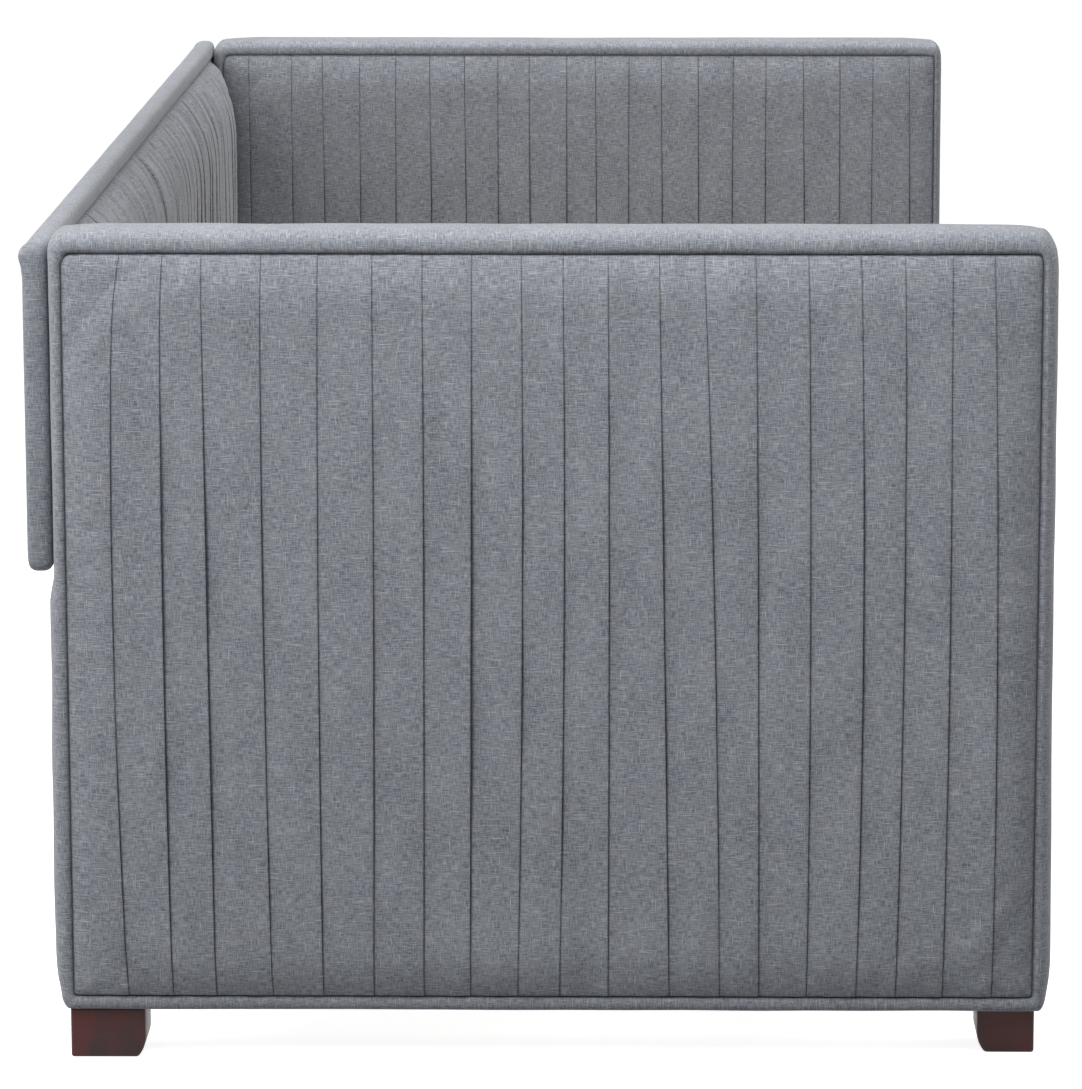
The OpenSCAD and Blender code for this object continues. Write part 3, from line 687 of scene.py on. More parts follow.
def cloth_sheet(points: np.ndarray, cloth: np.ndarray, crease_shade: np.ndarray) -> bmesh.types.BMesh:
    """A grid of cloth whose points, cloth map and painted crease shade are given row by row.

    Args:
        points: Places, rows by columns by 3.
        cloth: Place of each point on the flat cloth, rows by columns by 2.
        crease_shade: Share of the painted shade at each point, which follows its depth in a fold or seam,
            from 0 to 1, rows by columns.

    Returns:
        The sheet, with the map kept as "weave" and the painted shade as "crease_shade".
    """
    rows, columns = crease_shade.shape
    bm = bmesh.new()
    bmesh.ops.create_grid(bm, x_segments=columns - 1, y_segments=rows - 1, size=0.5)
    mesh = bpy.data.meshes.new("sheet")
    bm.to_mesh(mesh)
    flat = points_of(mesh)
    column, row = grid_line(flat[:, 0], columns - 1), grid_line(flat[:, 1], rows - 1)
    mesh.vertices.foreach_set("co", points[row, column].ravel())
    corner = np.empty(len(mesh.loops), np.int32)
    mesh.loops.foreach_get("vertex_index", corner)
    mesh.uv_layers.new(name="weave").data.foreach_set("uv", cloth[row, column][corner].ravel())
    mesh.attributes.new("crease_shade", "FLOAT", "POINT").data.foreach_set("value", crease_shade[row, column])
    bm.clear()
    bm.from_mesh(mesh)
    bpy.data.meshes.remove(mesh)
    return bm


def merged_copy(node: str) -> bmesh.types.BMesh:
    """A copy of a CAD node, whose flat faces are whole again.

    Args:
        node: The node.

    Returns:
        The copy.
    """
    bm = bmesh.new()
    bm.from_mesh(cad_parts[node].data)
    bmesh.ops.remove_doubles(bm, verts=bm.verts, dist=CAD_WELD)
    bmesh.ops.dissolve_limit(bm, angle_limit=FLAT_ANGLE, verts=bm.verts, edges=bm.edges)
    return bm


def round_edges(
    bm: bmesh.types.BMesh, edges: list[bmesh.types.BMEdge], width: float, segments: int, clamp: bool = True
) -> None:
    """Rounds edges.

    Args:
        bm: The mesh.
        edges: The edges.
        width: Width of the rounding.
        segments: Faces across the rounding.
        clamp: Whether the rounding gets narrower where edges are short.
    """
    bmesh.ops.bevel(
        bm, geom=edges, offset=width, offset_type="OFFSET", affect="EDGES", segments=segments,
        profile=0.5, material=-1, clamp_overlap=clamp,
    )


def eased_copy(
    node: str, material: bpy.types.Material, slot: str, ease: float, segments: int = 3, clamp: bool = True
) -> bpy.types.Object:
    """A copy of a CAD node with its sharp edges rounded.

    Args:
        node: The node.
        material: The copy's material.
        slot: The record's material slot.
        ease: Width of the rounding.
        segments: Faces across the rounding.
        clamp: Whether the rounding gets narrower where edges are short.

    Returns:
        The copy, which stands for the node.
    """
    bm = merged_copy(node)
    sharp = [e for e in bm.edges if e.is_manifold and e.calc_face_angle() > SHARP_ANGLE]
    round_edges(bm, sharp, ease, segments, clamp)
    bmesh.ops.recalc_face_normals(bm, faces=bm.faces)
    return joined(placed(bm, f"{node}_eased", material, sharp=40.0), slot, node)


# ---- Pleated faces ----

# A knife pleat in section, across the direction that the folds face: (offset from the fold, height).
# The fabric rises to its fold, turns under it, and comes out again as the next pleat.
FOLD_LEAD = (
    (-9.0, 0.75), (-4.0, 0.95), (-1.3, 0.95), (0.1, 0.75), (0.7, 0.2), (0.7, -0.6), (0.3, -1.8), (-0.2, -3.2),
)
FOLD_TRAIL = ((0.6, -3.4), (1.1, -2.2), (1.7, -1.3), (2.8, -0.6), (7.0, -0.15))
FOLD_DEPTH = -FOLD_TRAIL[0][1]

# Between two folds a pleat rises as (share of the way, height) tells.
PANEL_RISE = ((0.25, 0.10), (0.5, 0.45), (0.75, 0.65))

# Offsets of the rows of points beside a seam, in millimetres. Even rows begin at the rim's end.
SEAM_OFFSETS = (0.0, 1.0, 2.4, 5.0, 10.0)
RISE_OFFSETS = (18.0, 28.0, 40.0)
RIM = 50.0 * MM
SEAM_DEPTH = 4.0 * MM
SEAM_WIDTH = 3.4 * MM

# Unevenness of hand-laid wadding, which rolls over the whole face, of the fabric along its seams, and
# of how far the folds stand open.
ROLLING = Unevenness(11, 0.045, 0.22, 0.55 * MM)
SAGGING = Unevenness(13, 0.16, 0.30, 1.1 * MM)
PUCKERED = Unevenness(17, 0.014, 0.08, 0.30 * MM)
OPENED = Unevenness(7, 0.11, 0.16, 0.30)
WADDING_RUN = 30.0 * MM
PUCKER_RUN = 18.0 * MM
OPENINGS = (0.6, 3.2)

# How deep a fold is where it is shallowest, as a share, and the height over which it deepens from
# there: under the upper seam, and above the lower one. A fold that fades out keeps the last share.
UNDER_UPPER, OVER_LOWER = (0.36, 0.33), (0.70, 0.12)
FADED = 0.06

# The share of the simulated ripples that shows, and how far a pleat's width may be from the usual one.
RIPPLE_SHARE = 0.5
UNEVEN_WIDTH = 0.153


@dataclass
class PleatRow:
    """Where the folds of one pleated face lie, from the edge that they turn away from.

    Attributes:
        widths: Width of each pleat at the top.
        leans: How far each fold's lower end lies beyond its top end.
        bows: How far each fold bends out at its middle.
        seed: Start of the random numbers for what is left uneven.
        hooks: How far each fold turns aside where it meets the top seam.
        gapes: How far each fold stands open at its middle, where 1 is closed.
        fades: Height below the top seam over which each fold lies flat.
    """

    widths: tuple[float, ...]
    leans: tuple[float, ...]
    bows: tuple[float, ...]
    seed: int
    hooks: tuple[float, ...] = ()
    gapes: tuple[float, ...] = ()
    fades: tuple[float, ...] = ()

    @classmethod
    def uneven(cls, count: int, seed: int, fading: float = 0.0) -> "PleatRow":
        """A row of pleats folded by eye.

        Args:
            count: Number of pleats.
            seed: Start of the random numbers.
            fading: Greatest height, in millimetres, over which the first folds lie flat under the
                top seam. The last ones stand up from the seam on.

        Returns:
            The row, with widths in shares of the whole.
        """
        rng = np.random.default_rng(seed)
        folds = count - 1
        widths = tuple(rng.uniform(1.0 - UNEVEN_WIDTH, 1.0 + UNEVEN_WIDTH, count))
        leans = tuple(rng.normal(0.0, 4.0, folds))
        bows = tuple(rng.normal(0.0, 1.8, folds))
        gapes = tuple(rng.choice([1.0, 1.0, 1.0, 1.8, 2.6], folds))
        fades = tuple(rng.choice([0.05, 0.4, 0.7, 1.0], folds) * fading * np.linspace(1.2, 0.1, folds))
        return cls(widths, leans, bows, seed, gapes=gapes, fades=fades)

    def folds(self, length: float, share: np.ndarray) -> np.ndarray:
        """Places of the folds, and of the face's two edges, at several heights.

        Args:
            length: Length of the face across its pleats.
            share: Heights as shares of the way from the top to the bottom.

        Returns:
            Distances from the first edge, heights by folds and edges.
        """
        tops = np.cumsum(self.widths)
        tops = np.concatenate([[0.0], tops / tops[-1] * length])
        lean, bow, hook = np.zeros((3, len(tops)))
        for shift, sizes in ((lean, self.leans), (bow, self.bows), (hook, self.hooks)):
            shift[1 : 1 + len(sizes)] = np.array(sizes) * MM
        down = share[:, None]
        return tops + lean * (down - 0.1) + bow * 4 * down * (1 - down) + hook * np.exp(-down * 18.0)


@dataclass(frozen=True)
class SeamCorners:
    """Radii of a seam's four corners, seen square to its face.

    Attributes:
        low_low: At the lower place in both directions.
        high_low: At the higher place in the first direction.
        high_high: At the higher place in both.
        low_high: At the higher place in the second.
    """

    low_low: float
    high_low: float
    high_high: float
    low_high: float

    @classmethod
    def even(cls, radius: float) -> "SeamCorners":
        """Four corners of one radius."""
        return cls(radius, radius, radius, radius)

    def turned(self) -> "SeamCorners":
        """The same corners, with the first direction reversed."""
        return SeamCorners(self.high_low, self.low_low, self.low_high, self.high_high)


@dataclass(frozen=True)
class Press:
    """A rectangle of a pad that something bears on.

    Attributes:
        start: Its nearer end across the pleats.
        end: Its farther end.
        low: Its lower edge.
        high: Its upper edge.
        height: Height that the pad is held down to.
        run: Distance over which the pad rises round it.
    """

    start: float
    end: float
    low: float
    high: float
    height: float
    run: float = 22.0 * MM

    def held(self, place: np.ndarray, level: np.ndarray, height: np.ndarray) -> np.ndarray:
        """The pad's heights under this press.

        Args:
            place: Distances across the pleats.
            level: Levels.
            height: Heights before.

        Returns:
            Heights after.
        """
        away_u = np.maximum(np.maximum(self.start - place, place - self.end), 0.0)
        away_v = np.maximum(np.maximum(self.low - level, level - self.high), 0.0)
        share = smooth_step(np.hypot(away_u, away_v) / self.run)
        return np.minimum(height, self.height + (height - self.height) * share)


@dataclass
class SewnCover:
    """A cover sewn down round its edge and blown up by its wadding, as the cloth solver leaves it.

    Attributes:
        length: Its length between the seams.
        height: Its height between the seams.
        cell: Size of the simulated cells.
        pressure: Pressure of the wadding.
        slack: How much larger the cloth is cut than its seam, as a share.
        frames: Number of frames simulated.
        plain_rise: Height of the plain dome that is drawn first, before the solver's rise replaces it.
        ripple_limit: Greatest height of a ripple.
        rise: Its rise at each point, rows by columns.
        ripple: What stands above its rise round about, rows by columns.
    """

    length: float
    height: float
    cell: float = 14.0 * MM
    pressure: float = 4.0
    slack: float = 0.008
    frames: int = 20
    plain_rise: float = 70.0 * MM
    ripple_limit: float = 3.0 * MM
    rise: np.ndarray = field(init=False)
    ripple: np.ndarray = field(init=False)

    def __post_init__(self) -> None:
        """Draws a plain dome, then replaces it with the cover as the cloth solver blows it up."""
        columns, rows = (round(side / self.cell) for side in (self.length, self.height))
        across, up = (np.sin(np.linspace(0.0, math.pi, n + 1)) for n in (columns, rows))
        self.rise = self.plain_rise * np.sqrt(up[:, None] * across[None, :])
        self.rise = self._blown(columns, rows)
        padded = np.pad(self.rise, 2, mode="edge")
        around = [padded[i : i + rows + 1, j : j + columns + 1] for i in range(5) for j in range(5)]
        inside = np.pad(np.ones((rows - 5, columns - 5)), 3)
        above = self.rise - sum(around) / len(around)
        self.ripple = np.clip(above, -self.ripple_limit, self.ripple_limit) * inside

    def _blown(self, columns: int, rows: int) -> np.ndarray:
        """Runs the cloth solver on a flat sheet whose rim is pinned.

        Args:
            columns: Number of cells along its length.
            rows: Number of cells up its height.

        Returns:
            Its rise at each point, rows by columns.
        """
        bm = bmesh.new()
        bmesh.ops.create_grid(bm, x_segments=columns, y_segments=rows, size=0.5)
        bmesh.ops.scale(bm, vec=(self.length, self.height, 1.0), verts=bm.verts)
        rim = [v.index for v in bm.verts if v.is_boundary]
        mesh = bpy.data.meshes.new("cover")
        bm.to_mesh(mesh)
        bm.free()
        sheet = bpy.data.objects.new("cover", mesh)
        scene = bpy.context.scene
        scene.collection.objects.link(sheet)
        sheet.vertex_groups.new(name="seam").add(rim, 1.0, "REPLACE")
        cloth = sheet.modifiers.new("cover", "CLOTH")
        cloth.point_cache.frame_start, cloth.point_cache.frame_end = 1, self.frames
        settings = {
            "quality": 5, "mass": 0.3, "use_pressure": True, "uniform_pressure_force": self.pressure,
            "vertex_group_mass": "seam", "tension_stiffness": 15.0, "compression_stiffness": 15.0,
            "shear_stiffness": 5.0, "bending_stiffness": 0.5, "shrink_min": -self.slack,
        }
        for name, value in settings.items():
            setattr(cloth.settings, name, value)
        cloth.settings.effector_weights.gravity = 0.0
        for frame_number in range(1, self.frames + 1):
            scene.frame_set(frame_number)
        blown = sheet.evaluated_get(bpy.context.evaluated_depsgraph_get()).to_mesh()
        flat = points_of(mesh)
        column, row = grid_line(flat[:, 0] / self.length, columns), grid_line(flat[:, 1] / self.height, rows)
        rise = np.zeros((rows + 1, columns + 1))
        rise[row, column] = points_of(blown)[:, 2]
        bpy.data.objects.remove(sheet)
        scene.frame_set(1)
        LOG.info("cover of %.3f by %.3f m: rises %.1f mm", self.length, self.height, rise.max() / MM)
        return rise

    def read(self, grid: np.ndarray, across: np.ndarray, up: np.ndarray) -> np.ndarray:
        """Reads one of its grids between its points.

        Args:
            grid: Its rise or its ripple.
            across: Shares of the way along its length.
            up: Shares of the way up its height.

        Returns:
            The grid's value at each place.
        """
        rows, columns = (n - 1 for n in grid.shape)
        x, y = np.clip(across, 0.0, 1.0) * columns, np.clip(up, 0.0, 1.0) * rows
        i, j = np.minimum(x.astype(int), columns - 1), np.minimum(y.astype(int), rows - 1)
        x, y = x - i, y - j
        low = grid[j, i] * (1 - x) + grid[j, i + 1] * x
        high = grid[j + 1, i] * (1 - x) + grid[j + 1, i + 1] * x
        return low * (1 - y) + high * y

    def rise_at(self, distance: np.ndarray) -> np.ndarray:
        """Its rise at a distance from the middle of its longer side."""
        profile = self.rise[: self.rise.shape[0] // 2 + 1, self.rise.shape[1] // 2]
        return np.interp(distance, np.arange(len(profile)) * self.cell, profile)


@dataclass
class PleatedPad:
    """A padded face under pleated fabric, laid out across its pleats and up its height.

    Attributes:
        row: Its pleats.
        cover: The simulated cover that its padding follows.
        length: Length across the pleats.
        low: Height of its lower seam.
        high: Height of its upper seam.
        crown: Rise of the padding above the seam.
        side_run: Distance over which it rises from its ends and its lower seam.
        top_run: Distance over which it rises from its upper seam.
        fullness: How full it is near its ends and its lower seam, as crown_rise takes it.
        top_fullness: How full it is near its upper seam.
        flat_ends: Length at each end that stays low.
        row_step: Distance between two rows of points.
        corners: The seam's corners, with the first direction across the pleats.
        presses: What bears on it.
        seam_depth: How far the fabric is drawn in at its seams, which also sets how dark the shade painted
            there is.
        place: Distance of each point across the pleats, levels by columns.
        height: Height of each point above the seam, levels by columns.
        level: Heights of the rows of points.
        crease_shade: Share of the painted shade at each point, which follows its depth in a fold or seam,
            levels by columns.
    """

    row: PleatRow
    cover: SewnCover
    length: float
    low: float
    high: float
    crown: float
    side_run: float
    top_run: float
    fullness: float = 1.0
    top_fullness: float = 1.0
    flat_ends: float = 0.0
    row_step: float = 9.0 * MM
    corners: SeamCorners = SeamCorners.even(7.0 * MM)
    presses: tuple[Press, ...] = ()
    seam_depth: float = SEAM_DEPTH
    place: np.ndarray = field(init=False)
    height: np.ndarray = field(init=False)
    level: np.ndarray = field(init=False)
    crease_shade: np.ndarray = field(init=False)

    def __post_init__(self) -> None:
        """Lays out the face."""
        near = np.array(SEAM_OFFSETS + RISE_OFFSETS) * MM
        body = spaced(self.low + RIM, self.high - RIM, self.row_step)
        self.level = np.concatenate([self.low + near, body, self.high - near[::-1]])
        share = (self.high - self.level) / (self.high - self.low)
        folds = self.row.folds(self.length, share)
        self._lay_columns(folds)
        self._raise_padding()

    def _lay_columns(self, folds: np.ndarray) -> None:
        """Places the columns of points round every fold.

        Args:
            folds: Distances of the folds and edges, heights by folds.
        """
        count = folds.shape[1] - 1
        seam = [(offset, 0.0) for offset in SEAM_OFFSETS]
        levels = len(self.level)
        opening = self._openings(count)
        strength = self._strengths(count)
        plain = np.ones(levels)
        # Each point in a fold gets painted shade in step with how deep it lies, times the fold's strength.
        place, height, crease_shade = [], [], []
        for pleat in range(count):
            first, second = folds[:, pleat], folds[:, pleat + 1]
            trail = seam if pleat == 0 else FOLD_TRAIL
            lead = [(-o, h) for o, h in reversed(seam)] if pleat == count - 1 else FOLD_LEAD
            spread = opening[:, pleat] if pleat else plain
            before = strength[:, pleat] if pleat else plain
            after = strength[:, pleat + 1] if pleat < count - 1 else plain
            for offset, rise in trail:
                place.append(first + offset * MM * spread)
                height.append(rise * MM * before)
                crease_shade.append(np.clip(-rise / FOLD_DEPTH, 0.0, 1.0) * before)
            start = first + trail[-1][0] * MM * spread
            end = second + lead[0][0] * MM
            for part, rise in PANEL_RISE:
                place.append(start + (end - start) * part)
                height.append(rise * MM * after)
                crease_shade.append(np.zeros(levels))
            for offset, rise in lead:
                place.append(second + offset * MM)
                height.append(rise * MM * after)
                crease_shade.append(np.clip(-rise / FOLD_DEPTH, 0.0, 1.0) * after)
        self.place = np.stack(place, axis=1)
        self.height = np.stack(height, axis=1)
        self.crease_shade = np.stack(crease_shade, axis=1)

    def _openings(self, count: int) -> np.ndarray:
        """How far each fold stands open.

        Args:
            count: Number of pleats.

        Returns:
            Factors on the width of each fold's far side, levels by folds and edges.
        """
        uneven = OPENED.on(self.row.seed, np.arange(count + 1)[None, :] * 0.5, self.level[:, None])
        gape = np.ones(count + 1)
        gape[1 : 1 + len(self.row.gapes)] = self.row.gapes
        below = (self.high - self.level[:, None]) / (self.high - self.low)
        middle = smooth_step((below - 0.12) / 0.3) * smooth_step((0.95 - below) / 0.3)
        return np.clip((1.0 + uneven) * (1.0 + (gape - 1.0) * middle), *OPENINGS)

    def _strengths(self, count: int) -> np.ndarray:
        """How deep each fold is, which is least under the top seam that flattens it.

        Args:
            count: Number of pleats.

        Returns:
            Factors on the depth of each fold, levels by folds and edges.
        """
        above = (self.high - self.level)[:, None]
        below = (self.level - self.low)[:, None]
        fade = np.full(count + 1, 0.1 * MM)
        fade[1 : 1 + len(self.row.fades)] = np.maximum(np.array(self.row.fades), 0.1) * MM
        depth = np.ones((len(self.level), count + 1))
        for share, run, away in ((*UNDER_UPPER, above), (*OVER_LOWER, below), (FADED, fade, above)):
            depth = depth * (share + (1.0 - share) * smooth_step(away / run))
        return depth

    def _raise_padding(self) -> None:
        """Adds the crown, the seam's groove and the unevenness of hand-laid wadding."""
        level = np.broadcast_to(self.level[:, None], self.place.shape)
        end = np.minimum(self.place, self.length - self.place)
        below, above = level - self.low, self.high - level
        edge = np.minimum(np.minimum(end, below), above)
        groove = (1.0 - np.clip(edge / SEAM_WIDTH, 0.0, 1.0)) ** 2
        self.height = self.height + self._crown(end, below, above) - groove * self.seam_depth
        inner = smooth_step(edge / WADDING_RUN)
        near_seam = np.exp(-np.minimum(below, above) / PUCKER_RUN)
        for unevenness, share in ((ROLLING, inner), (SAGGING, inner), (PUCKERED, near_seam)):
            self.height = self.height + unevenness.on(self.row.seed, self.place, level) * share
        for press in self.presses:
            self.height = press.held(self.place, level, self.height)
        # Painted shade along the seams, as dark as the seam is deep.
        self.crease_shade = np.maximum(self.crease_shade, groove * self.seam_depth / SEAM_DEPTH)

    def _crown(self, end: np.ndarray, below: np.ndarray, above: np.ndarray) -> np.ndarray:
        """The cover's rise, held down to the crown by the foam that it is drawn over.

        Args:
            end: Distances from the nearer end.
            below: Distances from the lower seam.
            above: Distances from the upper seam.

        Returns:
            The heights.
        """
        pulls = [1.0 / (np.maximum(d, 0.0) + 2 * MM) for d in (end - self.flat_ends, below, above)]
        top = pulls[2] / sum(pulls)
        run = self.side_run + (self.top_run - self.side_run) * top
        fullness = self.fullness + (self.top_fullness - self.fullness) * top
        across = (self.place - self.flat_ends) / (self.length - 2 * self.flat_ends)
        up = below / (self.high - self.low)
        share = self.cover.read(self.cover.rise, across, up) / self.cover.rise_at(run)
        ripple = self.cover.read(self.cover.ripple, across, up)
        return self.crown * crown_rise(share, fullness) + RIPPLE_SHARE * ripple

    def sheet(self, lay: Callable[[np.ndarray, np.ndarray, np.ndarray], np.ndarray]) -> bmesh.types.BMesh:
        """The pleated fabric in its place.

        Args:
            lay: Turns distances across the pleats, levels and heights into places.

        Returns:
            The open sheet of fabric.
        """
        level = np.broadcast_to(self.level[:, None], self.place.shape)
        across, up = self._rounded(self.place, level)
        cloth = np.stack([self.place, level], axis=-1)
        return cloth_sheet(lay(across, up, self.height), cloth, self.crease_shade)

    def _rounded(self, place: np.ndarray, level: np.ndarray) -> tuple[np.ndarray, np.ndarray]:
        """Draws the points at each corner in to the seam's rounded corner.

        Args:
            place: Distances across the pleats.
            level: Heights.

        Returns:
            Both, drawn in.
        """
        across, up = place.copy(), level.copy()
        near, far, radii = 0.0, self.length, self.corners
        corners = (
            (near, self.low, radii.low_low), (far, self.low, radii.high_low),
            (far, self.high, radii.high_high), (near, self.high, radii.low_high),
        )
        for end, edge, radius in corners:
            u = radius - np.abs(place - end)
            v = radius - np.abs(level - edge)
            inside = (u > 0) & (v > 0)
            largest = np.maximum(u, v)
            length = np.sqrt(u * u + v * v)
            factor = np.where(inside, largest / np.maximum(length, 1e-9), 1.0)
            centre_u = end + (radius if end == near else -radius)
            centre_v = edge + (radius if edge == self.low else -radius)
            across = np.where(inside, centre_u + (place - centre_u) * factor, across)
            up = np.where(inside, centre_v + (level - centre_v) * factor, up)
        return across, up


def close_pad(bm: bmesh.types.BMesh, axis: int, board: float) -> None:
    """Closes a sheet of fabric against the flat board that carries it.

    Args:
        bm: The sheet.
        axis: The axis that the board is square to.
        board: Where the board's face lies on that axis.
    """
    rim = [e for e in bm.edges if e.is_boundary]
    grown = bmesh.ops.extrude_edge_only(bm, edges=rim)["geom"]
    for vert in (g for g in grown if isinstance(g, bmesh.types.BMVert)):
        vert.co[axis] = board
    bmesh.ops.edgeloop_fill(bm, edges=[g for g in grown if isinstance(g, bmesh.types.BMEdge)])
    bmesh.ops.recalc_face_normals(bm, faces=bm.faces)


# ---- Padded rolls ----


@dataclass(frozen=True)
class Corner:
    """One corner of a roll's outline: its reach along each side, and its fullness."""

    across: float
    up: float
    fullness: float = 2.0


@dataclass
class Outline:
    """A rectangle whose corners are full curves, seen square to a roll.

    Attributes:
        low: Its lowest place along the roll's two directions.
        high: Its highest place.
        corners: Its corners: low-low, high-low, high-high and low-high.
        droop: How far its top falls towards its ends.
        droop_run: Distance over which it falls.
        droop_curve: How late it falls, where 1 is a straight line.
    """

    low: tuple[float, float]
    high: tuple[float, float]
    corners: tuple[Corner, Corner, Corner, Corner]
    droop: float = 0.0
    droop_run: float = 65.0 * MM
    droop_curve: float = 1.6

    def holds(self, u: np.ndarray, v: np.ndarray) -> np.ndarray:
        """Whether each place lies inside.

        Args:
            u: Places in the first direction.
            v: Places in the second direction.

        Returns:
            True where it does.
        """
        end = np.minimum(u - self.low[0], self.high[0] - u)
        fall = self.droop * np.clip(1.0 - end / self.droop_run, 0.0, 1.0) ** self.droop_curve
        top = self.high[1] - fall
        inside = (u > self.low[0]) & (u < self.high[0]) & (v > self.low[1]) & (v < top)
        ends = ((0, 0), (1, 0), (1, 1), (0, 1))
        for (right, upper), corner in zip(ends, self.corners):
            du = (self.high[0] - u) if right else (u - self.low[0])
            dv = (top - v) if upper else (v - self.low[1])
            a = np.clip(1.0 - du / corner.across, 0.0, 1.0)
            b = np.clip(1.0 - dv / corner.up, 0.0, 1.0)
            inside &= a**corner.fullness + b**corner.fullness < 1.0
        return inside


# Unevenness of a roll's wadding where it stands proud, and of its fabric near the seams.
LUMPY = Unevenness(0, 0.12, 0.12, 0.36 * MM)
GATHERED = Unevenness(1, 0.030, 0.030, 0.40 * MM)


@dataclass
class Roll:
    """A ring of padded fabric between a seam and the outline that it bulges out to.

    Attributes:
        seam_low: Lowest place of the seam.
        seam_high: Highest place of the seam.
        corners: The seam's corners.
        outline: The roll's outline.
        fullness: Fullness of its section along the lower side, the ends and the upper side: 2 for an
            ellipse, and more for a squarer dome.
        seed: Start of the random numbers.
        step: Distance between two stations on a straight side.
        turns: Number of stations round a corner, less its two ends.
        farthest: Farthest that the outline may lie from the seam.
        halvings: Number of times that this distance is halved to find the outline.
    """

    seam_low: tuple[float, float]
    seam_high: tuple[float, float]
    corners: SeamCorners
    outline: Outline
    fullness: Triple
    seed: int
    step: float = 13.0 * MM
    turns: int = 13
    farthest: float = 120.0 * MM
    halvings: int = 30

    def stations(self) -> tuple[np.ndarray, np.ndarray]:
        """Places round the seam, and the way out from each.

        Returns:
            Places and directions, stations by 2, with the first station repeated at the end.
        """
        (u0, v0), (u1, v1), c = self.seam_low, self.seam_high, self.corners
        sides = (
            ((u0 + c.low_low, v0), (u1 - c.high_low, v0), -90.0, c.high_low),
            ((u1, v0 + c.high_low), (u1, v1 - c.high_high), 0.0, c.high_high),
            ((u1 - c.high_high, v1), (u0 + c.low_high, v1), 90.0, c.low_high),
            ((u0, v1 - c.low_high), (u0, v0 + c.low_low), 180.0, c.low_low),
        )
        places, ways = [], []
        for start, end, angle, radius in sides:
            start, end = np.array(start), np.array(end)
            along = spaced(0.0, 1.0, self.step / np.linalg.norm(end - start))
            way = np.array([math.cos(math.radians(angle)), math.sin(math.radians(angle))])
            places.append(start + along[:, None] * (end - start))
            ways.append(np.tile(way, (len(along), 1)))
            centre = end - way * radius
            turn = np.radians(np.linspace(angle, angle + 90.0, self.turns + 2)[1:-1])
            fan = np.stack([np.cos(turn), np.sin(turn)], axis=1)
            places.append(centre + fan * radius)
            ways.append(fan)
        place, way = np.concatenate(places), np.concatenate(ways)
        return np.vstack([place, place[:1]]), np.vstack([way, way[:1]])

    def reach(self, place: np.ndarray, way: np.ndarray) -> np.ndarray:
        """Distance from each station out to the outline.

        Args:
            place: The stations.
            way: The directions out from them.

        Returns:
            The distances.
        """
        near, far = np.zeros(len(place)), np.full(len(place), self.farthest)
        for _ in range(self.halvings):
            middle = (near + far) / 2
            point = place + way * middle[:, None]
            held = self.outline.holds(point[:, 0], point[:, 1])
            near, far = np.where(held, middle, near), np.where(held, far, middle)
        return near

    def ring(self, section: "RollSection") -> tuple[np.ndarray, np.ndarray, np.ndarray, np.ndarray]:
        """Sweeps a section round the seam.

        Args:
            section: The section.

        Returns:
            Places in the ring's plane, places across it, the cloth map and the painted crease shade, each
            stations by points.
        """
        place, way = self.stations()
        reach = self.reach(place, way)
        lower, ends, upper = self.fullness
        fullness = ends + (lower - ends) * smooth_step(-way[:, 1]) + (upper - ends) * smooth_step(way[:, 1])
        across, out, crease_shade = section.points(reach, fullness)
        middle = place + way * reach[:, None]
        u, v = middle[:, :1], middle[:, 1:]
        lumps = LUMPY.on(self.seed, u + 0.8 * across, v - 0.6 * across)
        gathers = GATHERED.on(self.seed, u + 0.3 * across, v + 0.3 * across)
        standing = np.clip(out / np.maximum(reach[:, None], 1e-6), 0.0, 1.0)
        out = out + lumps * standing + gathers * (1.0 - standing) * (out > 0.0)
        plane = place[:, None, :] + way[:, None, :] * out[..., None]
        girth = length_along(np.stack([across, out], axis=-1))
        along = np.broadcast_to(length_along(middle)[:, None], girth.shape)
        cloth = np.stack([girth, along], axis=-1)
        return plane, across, cloth, crease_shade


# Where the points of a tuck lie on its quarter turn, from the seam outwards, and how much painted shade each
# gets.
TUCK_TURNS = (90.0, 68.0, 46.0, 23.0)
TUCK_SHADES = (1.0, 0.75, 0.3, 0.05)
DOME_POINTS = 25


